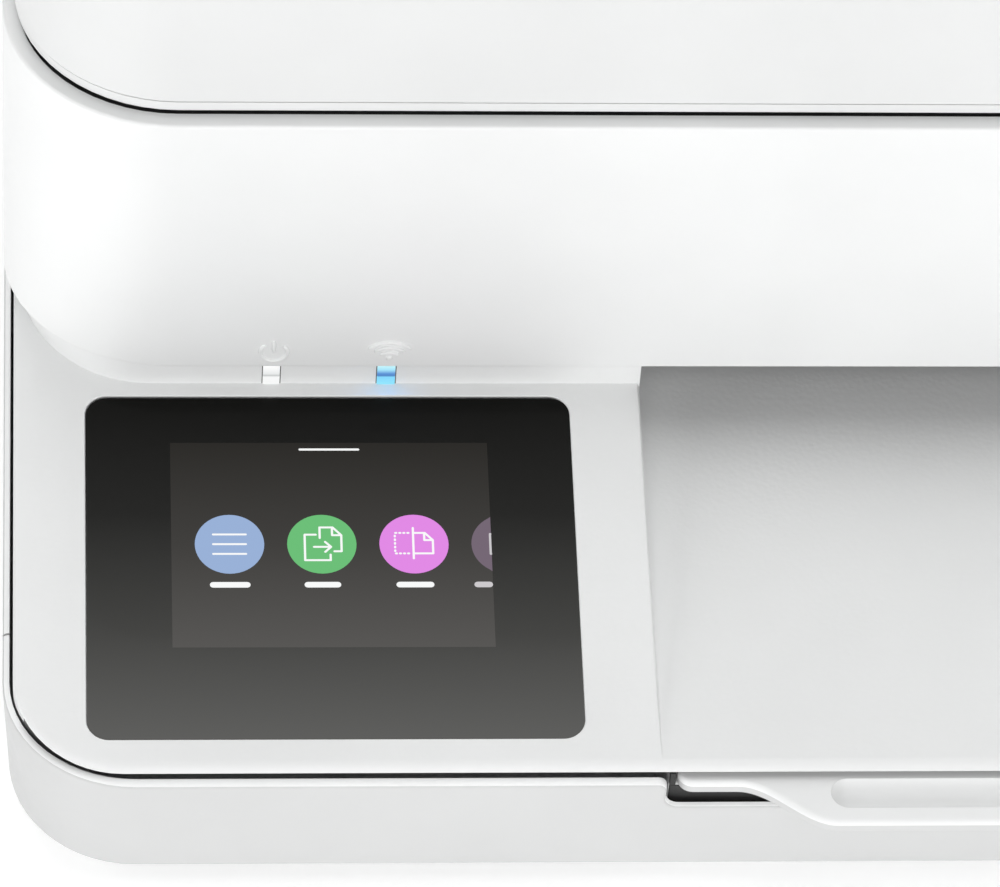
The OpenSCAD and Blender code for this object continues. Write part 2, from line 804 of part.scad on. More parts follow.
// Holder of the cartridges, running on the guide rod.
module print_carriage() {
    half = carriage_w / 2;
    color([0.18, 0.18, 0.2])
        difference() {
            union() {
                block([park_x - half, -42, carriage_z], [park_x + half, 29, carriage_top - 4]);
                block([park_x - half, 29, rod_z - 8], [park_x + half, 46, rod_z + 8]);
                block([park_x - 9, 45, belt_z - 1], [park_x + 9, pulley_y - pulley_r - 1.5, belt_z + 6]);
            }
            bar_x(park_x - half - 1, park_x + half + 1, rod_y, rod_z, rod_r + fit);
            for (x = cartridge_x)
                block([x - 18.5, -44, carriage_z + 2], [x + 18.5, 20, carriage_top]);
            for (x = cartridge_x)
                block([x - 16, -21, carriage_z - 1], [x + 16, 9, carriage_z + 3]);
        }
}
cartridge_x = [park_x - 20.5, park_x + 20.5];

// Ink cartridge with its print head below and a colour label above.
module cartridge(x, label) {
    color([0.12, 0.12, 0.13]) {
        block([x - 18, -39, carriage_z + 2.2], [x + 18, 19, carriage_top - 5]);
        block([x - 15, -20, 35.6], [x + 15, 8, carriage_z + 2.2]);
    }
    color("goldenrod") block([x - 9, -18, 35.2], [x + 9, 6, 35.6]);
    color(label) block([x - 15, -30, carriage_top - 5], [x + 15, 12, carriage_top - 4.6]);
}
module black_cartridge() {
    cartridge(cartridge_x[0], "black");
}
module colour_cartridge() {
    cartridge(cartridge_x[1], "steelblue");
}

// Flap that locks one cartridge, hinged along its lower edge at the front of the carriage.
module latch(x) {
    latch_y = -44.5;
    latch_z = carriage_z + 3;
    color([0.3, 0.3, 0.33]) {
        bar_x(x - 16, x + 16, latch_y, latch_z, 1.8);
        block([x - 16, latch_y - 0.9, latch_z], [x + 16, latch_y + 0.9, carriage_top - 4]);
        block([x - 8, latch_y - 3.4, carriage_top - 8], [x + 8, latch_y - 0.9, carriage_top - 5]);
    }
}
module black_latch() {
    latch(cartridge_x[0]);
}
module colour_latch() {
    latch(cartridge_x[1]);
}

// Flanged belt pulley on an upright axis.
module pulley(x, z0) {
    color("gainsboro") {
        bar_z(x, pulley_y, belt_z - 0.6, belt_z + 5.6, pulley_r);
        for (z = [belt_z - 1.4, belt_z + 5.4])
            bar_z(x, pulley_y, z, z + 1, pulley_r + 1.6);
        bar_z(x, pulley_y, z0, belt_z - 0.6, 2);
    }
}
module motor_pulley() {
    pulley(motor_pulley_x, 40.2);
}
module idler_pulley() {
    pulley(idler_pulley_x, 36);
}

// ---------------------------------------------------------------- scanner unit

window_x = 152;
window_y0 = scan_y0 + 31.5;
window_y1 = back_y - 33;
tub_z = 70;
glass_z = scan_z1 - 4.7;

// Outer shell of the scanner unit, with the window frame and the knuckles of both hinges.
module scanner_shell() {
    color("white")
        difference() {
            union() {
                difference() {
                    scan_slab(0, scan_z0, scan_z1);
                    scan_slab(2.5, scan_z0 - 1, scan_z1 - 2.5);
                    slab(-window_x, window_x, window_y0, window_y1, scan_z1 - 4, scan_z1 + 1, 3);
                    for (i = [-12:12])
                        block([i * 8 - 2, back_y - 4, 76], [i * 8 + 2, back_y + 1, 88]);
                }
                for (x = [-150, 150]) {
                    bar_x(x - 7.7, x + 7.7, lift_y, lift_z, lift_r);
                    block([x - 7.7, lift_y - lift_r, lift_z], [x + 7.7, lift_y + lift_r, scan_z0 + 2]);
                    block([x - 7.7, lift_y - lift_r, scan_z0], [x + 7.7, back_y - 1, scan_z0 + 3]);
                    bar_x(x - 16, x + 16, lift_y, lift_z, 1.5);
                }
                for (x = [-120, 120], side = [-1, 1]) {
                    bar_x(x + side * 12 - 4, x + side * 12 + 4, lid_hinge_y, lid_hinge_z, lid_hinge_r);
                    block([x + side * 12 - 4, back_y - 1, lid_hinge_z - 11],
                          [x + side * 12 + 4, lid_hinge_y + lid_hinge_r, lid_hinge_z]);
                }
            }
            for (x = [-120, 120]) {
                bar_x(x - 17, x + 17, lid_hinge_y, lid_hinge_z, 2 + fit);
                bar_x(x - 7.85, x + 7.85, lid_hinge_y, lid_hinge_z, lid_hinge_r + 0.3);
            }
        }
}

// Floor and inner walls that carry the glass and the scan rail.
module scanner_tub() {
    color([0.25, 0.25, 0.27])
        difference() {
            union() {
                scan_slab(2.6, tub_z, tub_z + 2);
                difference() {
                    block([-172, window_y0 - 20, tub_z], [172, window_y1 + 19, glass_z]);
                    block([-170, window_y0 - 18, tub_z + 2], [170, window_y1 + 17, glass_z + 1]);
                }
            }
            for (x = [-60, 60])
                block([x - 12, back_y - 12, tub_z - 1], [x + 12, back_y, tub_z + 3]);
        }
}

// Flatbed glass.
module scanner_glass() {
    color([0.75, 0.85, 0.85, 0.5])
        block([-172, window_y0 - 20, glass_z], [172, window_y1 + 19, glass_z + 2.1]);
}

// Round rail of the scan bar.
module scan_rail() {
    color("lightgray") bar_x(-170, 170, 30, tub_z + 9, 3);
}

// Light bar and sensor that travel under the glass.
module scan_bar() {
    x0 = -160;
    color([0.12, 0.12, 0.12])
        difference() {
            block([x0, window_y0 - 4, tub_z + 4], [x0 + 18, window_y1 + 4, glass_z - 0.5]);
            bar_x(x0 - 1, x0 + 19, 30, tub_z + 9, 3 + fit);
            block([x0 + 6, window_y0, glass_z - 1.5], [x0 + 12, window_y1, glass_z]);
        }
    color("white") block([x0 + 7, window_y0 + 1, glass_z - 1.5], [x0 + 11, window_y1 - 1, glass_z - 0.8]);
}

// ---------------------------------------------------------------- lid and document feeder

feeder_x0 = -195;
feeder_x1 = -66;
feeder_y0 = scan_y0 + 29.5;
feeder_y1 = back_y - 24;
feeder_z = 169;
feeder_mid = (feeder_y0 + feeder_y1) / 2;
lid_back = back_y - 3;
cover_z0 = feeder_z + 1.3;
cover_pin_x = feeder_x0 + 1.6;
cover_pin_z = cover_z0 + 1.6;
drum_x = -140;
drum_z = 148;
picker_x = -92;
picker_z = 160;
input_x = -62;
input_z = 150;
input_tilt = 10;
shaft_in = 1.4;

module lid_slab(inset, z0, z1) {
    slab(-side_x + lid_inset + inset, side_x - lid_inset - inset, scan_y0 + lid_inset + 0.6 + inset,
         lid_back - inset, z0, z1, scan_r - lid_inset - inset);
}

// Feeder outline, moved in all round.
module feeder_slab(inset, z0, z1) {
    slab(feeder_x0 + inset, feeder_x1 - inset, feeder_y0 + inset, feeder_y1 - inset, z0, z1, 14 - inset);
}

// Lid with the housing of the document feeder on its left half.
module lid_shell() {
    color("white")
        difference() {
            union() {
                difference() {
                    lid_slab(0, lid_z0, lid_z1);
                    lid_slab(2.5, lid_z0 - 1, lid_z1 - 2.5);
                }
                difference() {
                    lid_slab(1.5, lid_z0 - 1.4, lid_z0 + 1);
                    lid_slab(3.5, lid_z0 - 2, lid_z0 + 2);
                }
                difference() {
                    feeder_slab(0, lid_z1 - 1, feeder_z);
                    feeder_slab(2.5, lid_z1, feeder_z + 1);
                    block([feeder_x1 - 16, feeder_y0 + 6, lid_z1 + 2],
                          [feeder_x1 + 1, feeder_y1 - 6, feeder_z + 1]);
                }
                for (y = [feeder_y0 + 4, feeder_y1 - 8])
                    block([input_x - 4, y, lid_z1 - 1], [input_x + 3, y + 4, input_z + 3]);
                for (x = [-120, 120]) {
                    bar_x(x - 7.7, x + 7.7, lid_hinge_y, lid_hinge_z, lid_hinge_r);
                    block([x - 7.7, lid_back - 1, lid_hinge_z - 0.8],
                          [x + 7.7, lid_hinge_y, lid_hinge_z + 4]);
                    bar_x(x - 16, x + 16, lid_hinge_y, lid_hinge_z, 2);
                }
            }
            for (y = [feeder_y0 + 3, feeder_y1 - 9])
                bar_y(input_x, y, y + 6, input_z, 2 + fit);
            bar_y(drum_x, feeder_y0 + shaft_in - 0.2, feeder_y1 - shaft_in + 0.2, drum_z, shaft_r + fit);
            bar_y(picker_x, feeder_y0 + shaft_in - 0.2, feeder_y1 - shaft_in + 0.2, picker_z, shaft_r + fit);
        }
}

// Backing plate of the lid and the white foam that presses a page onto the glass.
module lid_pad() {
    color("white") {
        lid_slab(3.6, lid_z0 + 0.2, lid_z0 + 2);
        slab(-window_x + 3, window_x - 3, window_y0 + 3, window_y1 - 3, scan_z1 - 2.2, lid_z0 + 0.2, 2);
    }
}

// Cover over the feeder's rollers, hinged along its left edge.
module feeder_cover() {
    skin = 2.5;
    color("white") {
        difference() {
            feeder_slab(0, cover_z0, top_z);
            feeder_slab(skin, cover_z0 - 1, top_z - skin);
        }
        bar_y(cover_pin_x, feeder_y0 + 18, feeder_y1 - 18, cover_pin_z, 1.5);
    }
}

// Moves its children onto the input tray: x runs up the slope from its hinge.
module on_input_tray() {
    translate([input_x, 0, input_z]) rotate([0, -input_tilt, 0]) children();
}

// Tray for the pages to be fed, hinged at its lower edge.
module feeder_input_tray() {
    color("white") {
        on_input_tray() {
            slab(5, 208, feeder_y0, feeder_y1, -1.5, 1.5, 3);
            for (y = [feeder_y0 + 9.5, feeder_y1 - 12.5])
                block([-1, y, -1.5], [6, y + 3, 1.5]);
        }
        for (y = [feeder_y0 + 3.5, feeder_y1 - 11.5])
            bar_y(input_x, y, y + 8, input_z, 2);
    }
}

// Sliding paper guide of the feeder, dir = 1 when its sole points to +Y.
module feeder_guide(y, dir) {
    color("whitesmoke")
        on_input_tray() {
            block([20, y - 1.2, 1.7], [110, y + 1.2, 15]);
            block([45, min(y, y + dir * 16), 1.7], [85, max(y, y + dir * 16), 3.5]);
        }
}
module feeder_front_guide() {
    feeder_guide(feeder_mid - 109, 1);
}
module feeder_rear_guide() {
    feeder_guide(feeder_mid + 109, -1);
}

// Roller that takes the top page.
module feeder_pick_roller() {
    color([0.2, 0.2, 0.2]) {
        bar_y(picker_x, feeder_y0 + shaft_in, feeder_y1 - shaft_in, picker_z, shaft_r);
        bar_y(picker_x, feeder_mid - 26, feeder_mid + 26, picker_z, 8);
    }
}

// Drum that carries the page past the scan bar and back out.
module feeder_drum() {
    color([0.25, 0.25, 0.25]) {
        bar_y(drum_x, feeder_y0 + shaft_in, feeder_y1 - shaft_in, drum_z, shaft_r);
        for (y = [-84, -28, 28, 84])
            bar_y(drum_x, feeder_mid + y - 14, feeder_mid + y + 14, drum_z, 16);
    }
}

// ---------------------------------------------------------------- rear buttons

module rear_button(x) {
    color("gainsboro") {
        bar_y(x, back_y - 7, back_y + 1, 13, 4);
        bar_y(x, back_y - 8, back_y - 6, 13, 5);
    }
}
module power_button() {
    rear_button(150);
}
module wireless_button() {
    rear_button(172);
}

base_shell();
rubber_feet();
top_case();
display_glass();
lcd_module();
indicator_light_pipes();
engine_chassis();
guide_rod();
platen();
paper_turn_guide();
pinch_frame();
exit_rail();
drive_belt();
carriage_motor();
feed_motor();
main_board();
power_supply();
service_tub();
power_inlet();
usb_port();
chassis_screws();
service_sled();
tray_fascia();
tray_pan();
left_paper_guide();
right_paper_guide();
guide_pinion();
length_guide();
output_extender();
feed_roller();
idler_gear();
eject_roller();
motor_pinion();
pinch_rollers();
star_wheels();
turn_roller();
pick_arm();
pick_roller();
print_carriage();
black_cartridge();
colour_cartridge();
black_latch();
colour_latch();
motor_pulley();
idler_pulley();
scanner_shell();
scanner_tub();
scanner_glass();
scan_rail();
scan_bar();
lid_shell();
lid_pad();
feeder_cover();
feeder_input_tray();
feeder_front_guide();
feeder_rear_guide();
feeder_pick_roller();
feeder_drum();
power_button();
wireless_button();
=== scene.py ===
"""Home inkjet all-in-one printer: the visible shells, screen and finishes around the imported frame.

Lengths are in millimetres until a mesh is made. X runs along the width, the front faces -Y, Z is up.
"""

import json
import math

import bpy
import bmesh
from mathutils import Matrix, Vector
from mathutils.geometry import delaunay_2d_cdt


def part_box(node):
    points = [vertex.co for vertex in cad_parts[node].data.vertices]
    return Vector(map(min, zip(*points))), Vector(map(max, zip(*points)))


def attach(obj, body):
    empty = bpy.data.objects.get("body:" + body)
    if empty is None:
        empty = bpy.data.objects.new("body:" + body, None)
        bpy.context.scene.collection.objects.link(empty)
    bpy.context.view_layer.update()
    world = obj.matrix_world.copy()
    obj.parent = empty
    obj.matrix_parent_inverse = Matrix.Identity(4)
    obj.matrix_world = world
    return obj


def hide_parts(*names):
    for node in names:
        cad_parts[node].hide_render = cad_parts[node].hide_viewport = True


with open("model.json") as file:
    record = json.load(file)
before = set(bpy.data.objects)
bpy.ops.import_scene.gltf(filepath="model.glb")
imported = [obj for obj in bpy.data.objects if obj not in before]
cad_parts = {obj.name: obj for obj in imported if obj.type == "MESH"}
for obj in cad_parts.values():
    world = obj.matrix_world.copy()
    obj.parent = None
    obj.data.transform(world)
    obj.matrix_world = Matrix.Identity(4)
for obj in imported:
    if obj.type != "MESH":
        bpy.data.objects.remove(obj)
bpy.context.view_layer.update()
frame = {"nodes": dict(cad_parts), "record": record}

MM = 0.001
ARC = 14


# ---- datums from the frame

def box_mm(node):
    """Lowest and highest corner of a CAD node, in millimetres."""
    low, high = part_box(node)
    return low / MM, high / MM


fascia_low, fascia_high = box_mm("tray_fascia")
base_low, base_high = box_mm("base_shell")
case_low, case_high = box_mm("top_case")
glass_low, glass_high = box_mm("display_glass")
cover_low, cover_high = box_mm("feeder_cover")
extender_low, extender_high = box_mm("output_extender")
pad_low, pad_high = box_mm("lid_pad")
lights_low, lights_high = box_mm("indicator_light_pipes")

SIDE = fascia_high.x
FRONT = fascia_low.y
BACK = base_high.y
FLOOR = base_low.z
RIM = fascia_high.z
SEAM = fascia_high.y
BASE_R = 20

# Wall and rim of the base: widths, and (depth inwards, drop below the top) round the rim's two edges.
INNER_WALL = 2.4
SIDE_RIM = 1.08
FRONT_RIM = 1.6
NOTCH_RIM = 0.95
RIM_DROP = 0.7
RIM_OUTER = ((0, RIM_DROP), (0.07, 0.42), (0.22, 0.27), (0.45, 0.14), (0.75, 0.05))
RIM_INNER = ((0.14, 0.0), (0.04, 0.04), (0.0, 0.15), (0.0, RIM_DROP))
RIM_STARTS = 6
RIM_ENDS = 12

# Upper housing: its outline stands inside the rim of the base.
CASE = (case_low.x, case_high.x, case_low.y - 0.8, BACK - 2.7)
CASE_R = BASE_R - 3.5
LIP_Y = case_low.y + 1.5
LIP_Z = 24.8
TILT = math.radians(7)
SLOPE = math.tan(TILT)
SHELF_Z = 36.4
CHEEK_Z = 34.4
DECK_Z = 33
DECK_Y = BACK - 21
DECK_FALL = 5
PANEL_TOP = LIP_Y + (SHELF_Z - LIP_Z) / SLOPE
BENDS = (PANEL_TOP, DECK_Y, DECK_Y + (SHELF_Z - DECK_Z) / DECK_FALL)
SKIRT_Z = RIM - 1.9
EDGE_TURN = math.radians(50)
EDGE_SIDE_R = 0.7
EDGE_FRONT_R = 2.2
EDGE_SIDE = EDGE_SIDE_R * math.sin(EDGE_TURN)
EDGE_FRONT = EDGE_FRONT_R * math.sin(EDGE_TURN)
SEAT = (glass_low.x, glass_high.x, glass_low.y, glass_high.y)
SEAT_R = 3.4

# Output bay, and the notch and extender in front of it.
BAY_LEFT = -118.7
BAY_RIGHT = 128.7
BAY_BACK = -62.3
CHEEK = 2.2
NOTCH_LEFT = BAY_LEFT + 0.9
NOTCH_RIGHT = BAY_RIGHT - 0.9
EXTENDER_X0 = extender_low.x + 0.8
EXTENDER_X1 = extender_high.x - 0.8

# Scanner unit, whose front face leans forward towards its top.
SCAN = (-SIDE, SIDE, FRONT + 65.5, BACK)
SCAN_R = 26
SCAN_Z0 = 38.9
SCAN_Z1 = 96
SCAN_TOP_INSET = 0.85
SCAN_LEAN = 2.5
NECK_INSET = 2.5
NECK_R = 20
NECK_TOP = SCAN_Z0 - 0.3
NECK_Y = SCAN[2] + 5.15
WINDOW_Y = (SCAN[2] + 31.5, BACK - 33)
WELL = (-SIDE + 12, SIDE - 12, SCAN[2] + 13.2, DECK_Y - 2)
WELL_R = 15
HINGE_XS = (-120, 120)
HINGE_Y = BACK + 2.5
HINGE_Z = SCAN_Z1 + 3
LIFT_XS = (-150, 150)
LIFT_Y = BACK - 6
LIFT_Z = 36.3

# Lid and document feeder.
LID = (-SIDE + 1.5, SIDE - 1.5, SCAN[2] + 2.6, BACK - 3)
LID_R = 24.5
LID_Z0 = SCAN_Z1 + 0.75
LID_Z1 = 128
FEEDER = (cover_low.x, cover_high.x, cover_low.y, cover_high.y)
FEEDER_R = 14
FEEDER_Z = 169
INPUT_X = -62
INPUT_Z = 150
INPUT_TILT = math.radians(10)


# ---- shape helpers

class Shape:
    """Points in millimetres and the faces between them."""

    def __init__(self):
        self.points = []
        self.faces = []
        self.paint = []

    def add(self, points):
        start = len(self.points)
        self.points += [tuple(p) for p in points]
        return list(range(start, len(self.points)))

    def face(self, corners, paint=0):
        self.faces.append(tuple(corners))
        self.paint.append(paint)

    def loft(self, loops, start=False, end=False, join=False, paint=0):
        """Skin between closed loops of equal length, with optional caps or the last loop joined to the first.

        paint is one material index, or a function of the row and of the place along the loop.
        """
        pick = paint if callable(paint) else lambda row, place: paint
        rows = [self.add(loop) for loop in loops]
        if join:
            rows.append(rows[0])
        count = len(rows[0])
        for row, (a, b) in enumerate(zip(rows, rows[1:])):
            for i in range(count):
                j = (i + 1) % count
                self.face((a[i], a[j], b[j], b[i]), pick(row, i))
        paint = pick(0, 0)
        if start:
            self.face(reversed(rows[0]), paint)
        if end:
            self.face(rows[-1], paint)
        return rows

    def solid(self, loops, paint=0):
        """Skin between closed loops with both ends closed."""
        self.loft(loops, start=True, end=True, paint=paint)

    def sheet(self, points, triangles):
        """Triangles between points that are added to the shape."""
        ids = self.add(points)
        for corners in triangles:
            self.face([ids[i] for i in corners])

    def moved(self, matrix):
        """The same shape after a 4x4 matrix in millimetres."""
        self.points = [tuple(matrix @ Vector(p)) for p in self.points]
        return self


def ring(box, r, z, side=0.0, front=None, back=None, stations=()):
    """Rounded rectangle at height z, moved in from its box, with the corner centres kept where they are."""
    front = side if front is None else front
    back = front if back is None else back
    x0, x1, y0, y1 = box
    corners = (
        (x0 + r, y0 + r, r - front, 180),
        (x1 - r, y0 + r, r - front, 270),
        (x1 - r, y1 - r, r - back, 0),
        (x0 + r, y1 - r, r - back, 90),
    )
    points = []
    for index, (cx, cy, ry, first) in enumerate(corners):
        for k in range(ARC + 1):
            a = math.radians(first + 90 * k / ARC)
            points.append((cx + (r - side) * math.cos(a), cy + ry * math.sin(a), z))
        if index == 1:
            points += [(x1 - side, y, z) for y in sorted(stations)]
    points += [(x0 + side, y, z) for y in sorted(stations, reverse=True)]
    return points


def quarter(steps):
    """Angles from 0 to 90 degrees."""
    return [math.pi / 2 * k / steps for k in range(steps + 1)]


def round_foot(radius, z, steps, side=0.0):
    """Offset and height pairs round the lower outer edge of a wall that starts at z."""
    return [(side + radius * (1 - math.sin(a)), z + radius * (1 - math.cos(a))) for a in quarter(steps)]


def round_top(radius, z, steps, side=0.0):
    """Offset and height pairs round the upper outer edge of a wall that ends at z."""
    return [(side + radius * (1 - math.cos(a)), z - radius * (1 - math.sin(a))) for a in quarter(steps)]


def inside(point, loop):
    """Whether a point in plan lies in a closed loop."""
    x, y = point
    found = False
    for (xa, ya), (xb, yb) in zip(loop, loop[1:] + loop[:1]):
        if (ya > y) != (yb > y) and x < xa + (y - ya) * (xb - xa) / (yb - ya):
            found = not found
    return found


def fill(outline, holes=(), lines=()):
    """Triangles of a flat sheet in plan, with holes, whose edges follow the given lines."""
    loops = [[p[:2] for p in loop] for loop in (outline, *holes)]
    points = []
    edges = []
    for loop in loops:
        start = len(points)
        points += [Vector(p) for p in loop]
        edges += [(start + i, start + (i + 1) % len(loop)) for i in range(len(loop))]
    for line in lines:
        start = len(points)
        points += [Vector(p) for p in line]
        edges += [(start + i, start + i + 1) for i in range(len(line) - 1)]
    found, _, faces, *_ = delaunay_2d_cdt(points, edges, [], 0, 1e-4)
    kept = []
    for corners in faces:
        middle = sum((found[i] for i in corners), Vector((0, 0))) / len(corners)
        if inside(middle, loops[0]) and not any(inside(middle, hole) for hole in loops[1:]):
            kept.append(corners)
    return [tuple(p) for p in found], kept


def tube(shape, path, radius, flat=1.0, sides=10):
    """Round bead along a path of points, with closed ends. flat squashes it along Y."""
    loops = []
    for i, point in enumerate(path):
        before = Vector(path[max(i - 1, 0)])
        after = Vector(path[min(i + 1, len(path) - 1)])
        along = (after - before).normalized()
        helper = Vector((0, 1, 0)) if abs(along.y) < 0.9 else Vector((0, 0, 1))
        u = along.cross(helper).normalized()
        v = along.cross(u)
        scale = 0.55 if i in (0, len(path) - 1) else 1.0
        turn = [2 * math.pi * k / sides for k in range(sides)]
        loops.append([
            Vector(point) + (u * math.cos(a) + v * math.sin(a) * flat) * radius * scale for a in turn
        ])
    shape.solid(loops)


def bar(shape, start, end, radius, chamfer=0.4, sides=32):
    """Round bar between two points at one height, with eased ends."""
    a = Vector(start)
    b = Vector(end)
    along = (b - a).normalized()
    u = Vector((0, 0, 1))
    v = along.cross(u)
    turn = [2 * math.pi * k / sides for k in range(sides)]

    def loop(point, r):
        return [point + (u * math.cos(t) + v * math.sin(t)) * r for t in turn]

    shape.solid([
        loop(a, radius - chamfer),
        loop(a + along * chamfer, radius),
        loop(b - along * chamfer, radius),
        loop(b, radius - chamfer),
    ])


def slab(shape, box, r, z0, z1, edge=0.5, paint=0):
    """Solid plate with rounded corners and eased edges."""
    pairs = round_foot(edge, z0, 3) + round_top(edge, z1, 3)
    shape.solid([ring(box, r, z, inset) for inset, z in pairs], paint=paint)


def add_object(name, data):
    """New object in the scene."""
    item = bpy.data.objects.new(name, data)
    bpy.context.scene.collection.objects.link(item)
    return item


def mesh_of(name, shape):
    """Mesh of a shape, in metres."""
    mesh = bpy.data.meshes.new(name)
    mesh.from_pydata([Vector(p) * MM for p in shape.points], [], shape.faces)
    return mesh


def make(name, shape, body, materials, replaces=(), angle=32):
    """Makes the mesh object of a shape, smooth except at sharp edges, riding on a CAD body."""
    weld = 0.002 * MM
    mesh = mesh_of(name, shape)
    for material in materials:
        mesh.materials.append(material)
    mesh.polygons.foreach_set("material_index", shape.paint)
    edit = bmesh.new()
    edit.from_mesh(mesh)
    bmesh.ops.remove_doubles(edit, verts=edit.verts, dist=weld)
    bmesh.ops.dissolve_degenerate(edit, edges=edit.edges, dist=weld)
    bmesh.ops.recalc_face_normals(edit, faces=edit.faces)
    edit.to_mesh(mesh)
    edit.free()
    mesh.shade_smooth()
    mesh.set_sharp_from_angle(angle=math.radians(angle))
    piece = add_object(name, mesh)
    even = piece.modifiers.new("even_normals", "WEIGHTED_NORMAL")
    even.keep_sharp = True
    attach(piece, body)
    if replaces:
        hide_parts(*replaces)
    return piece


def cut(piece, shape):
    """Cuts a shape out of a piece and removes the cutter."""
    mesh = mesh_of("cutter", shape)
    edit = bmesh.new()
    edit.from_mesh(mesh)
    bmesh.ops.recalc_face_normals(edit, faces=edit.faces)
    edit.to_mesh(mesh)
    edit.free()
    cutter = add_object("cutter", mesh)
    step = piece.modifiers.new("cut", "BOOLEAN")
    step.operation = "DIFFERENCE"
    step.object = cutter
    step.solver = "EXACT"
    piece.modifiers.move(len(piece.modifiers) - 1, 0)
    bpy.context.view_layer.update()
    graph = bpy.context.evaluated_depsgraph_get()
    result = bpy.data.meshes.new_from_object(piece.evaluated_get(graph))
    piece.modifiers.remove(step)
    piece.data = result
    bpy.data.objects.remove(cutter)


def cutter_box(shape, low, high):
    """Square-edged box added to a cutter."""
    x0, y0, z0 = low
    x1, y1, z1 = high
    base = [(x0, y0), (x1, y0), (x1, y1), (x0, y1)]
    shape.solid([[(x, y, z) for x, y in base] for z in (z0, z1)])


# ---- materials

def set_inputs(node, **values):
    """Values of a node's inputs by name, with _ for a blank in the name."""
    for name, value in values.items():
        node.inputs[name.replace("_", " ")].default_value = value


class Nodes:
    """Short way to build a node tree with object coordinates in millimetres."""

    def __init__(self, name):
        self.material = bpy.data.materials.new(name)
        self.material.use_nodes = True
        self.tree = self.material.node_tree
        self.shader = self.tree.nodes["Principled BSDF"]
        coordinates = self.tree.nodes.new("ShaderNodeTexCoord")
        scale = self.tree.nodes.new("ShaderNodeMapping")
        scale.inputs["Scale"].default_value = (1000, 1000, 1000)
        self.tree.links.new(coordinates.outputs["Object"], scale.inputs["Vector"])
        self.place = scale.outputs["Vector"]

    def add(self, kind, links, **values):
        """New node: links feeds its inputs by name, values sets others, with _ for a blank in the name."""
        node = self.tree.nodes.new("ShaderNode" + kind)
        set_inputs(node, **values)
        for name, source in links.items():
            self.link(source, node.inputs[name])
        return node

    def link(self, source, target):
        self.tree.links.new(source, target)

    def surface(self, links, **values):
        """The same for the shader itself. Returns the finished material."""
        set_inputs(self.shader, **values)
        for name, source in links.items():
            self.link(source, self.shader.inputs[name])
        return self.material

    def noise(self, size, detail=3.0, stretch=(1, 1, 1)):
        """Noise whose blobs are about size millimetres wide."""
        squash = self.add("Mapping", {"Vector": self.place}, Scale=[v / size for v in stretch])
        node = self.add("TexNoise", {"Vector": squash.outputs["Vector"]}, Scale=1.0, Detail=detail)
        return node.outputs["Fac"]

    def cells(self, size):
        """Smooth leathery cells about size millimetres wide."""
        node = self.add("TexVoronoi", {"Vector": self.place}, Scale=1 / size)
        node.feature = "SMOOTH_F1"
        set_inputs(node, Smoothness=0.6)
        return node.outputs["Distance"]

    def spread(self, source, low, high, first=0.3, last=0.7):
        """Maps a value onto low..high."""
        node = self.add("MapRange", {"Value": source}, From_Min=first, From_Max=last, To_Min=low, To_Max=high)
        return node.outputs["Result"]

    def ramp(self, source, stops):
        """Colour ramp over (position, colour) stops."""
        node = self.add("ValToRGB", {"Fac": source})
        ramp = node.color_ramp
        while len(ramp.elements) < len(stops):
            ramp.elements.new(0.5)
        for element, (position, colour) in zip(ramp.elements, stops):
            element.position = position
            element.color = (*colour, 1)
        return node.outputs["Color"]

    def bump(self, height, depth, under=None):
        """Bump of depth millimetres, chained on an earlier one."""
        links = {"Height": height}
        if under is not None:
            links["Normal"] = under
        return self.add("Bump", links, Distance=depth * MM, Strength=1.0).outputs["Normal"]

    def along(self, axis, low, high):
        """0 to 1 between two places along an axis."""
        split = self.add("SeparateXYZ", {"Vector": self.place})
        return self.spread(split.outputs[axis], 0, 1, low, high)


def shade(colour, factor):
    """A colour made lighter or darker."""
    return tuple(min(1.0, c * factor) for c in colour)


def plastic(name, colour, rough=0.45, grain=0.5, depth=0.012, leather=0.0, sheen=0.45, vary=0.015):
    """Moulded plastic: fine grain, an optional leathery texture, and slight unevenness of tone and gloss."""
    n = Nodes(name)
    tones = [(0.3, shade(colour, 1 - vary)), (0.7, shade(colour, 1 + vary))]
    n.surface({
        "Base Color": n.ramp(n.noise(26, 2), tones),
        "Roughness": n.spread(n.noise(1.6, 2), rough - 0.05, rough + 0.05),
    })
    normal = n.bump(n.noise(grain, 3), depth)
    if leather:
        normal = n.bump(n.cells(0.8), leather, under=normal)
    return n.surface({"Normal": normal}, Specular_IOR_Level=sheen)


def metal(name, colour, rough=0.3, brush=(1, 40, 40), depth=0.004):
    """Metal with drawing marks along X and faint stains."""
    n = Nodes(name)
    marks = n.noise(4, 4, brush)
    return n.surface({
        "Base Color": n.ramp(n.noise(14, 3), [(0.3, shade(colour, 0.93)), (0.7, shade(colour, 1.05))]),
        "Roughness": n.spread(marks, rough - 0.08, rough + 0.12),
        "Normal": n.bump(marks, depth),
    }, Metallic=1.0)


def glow(name, stops, low, high, axis="Y"):
    """Screen or light window: an even glow that changes along one axis between two places."""
    n = Nodes(name)
    return n.surface({
        "Emission Color": n.ramp(n.along(axis, low, high), stops),
        "Normal": n.bump(n.noise(0.6, 2), 0.002),
    }, Base_Color=(0, 0, 0, 1), Roughness=0.3, Specular_IOR_Level=0.0, Emission_Strength=1.0)


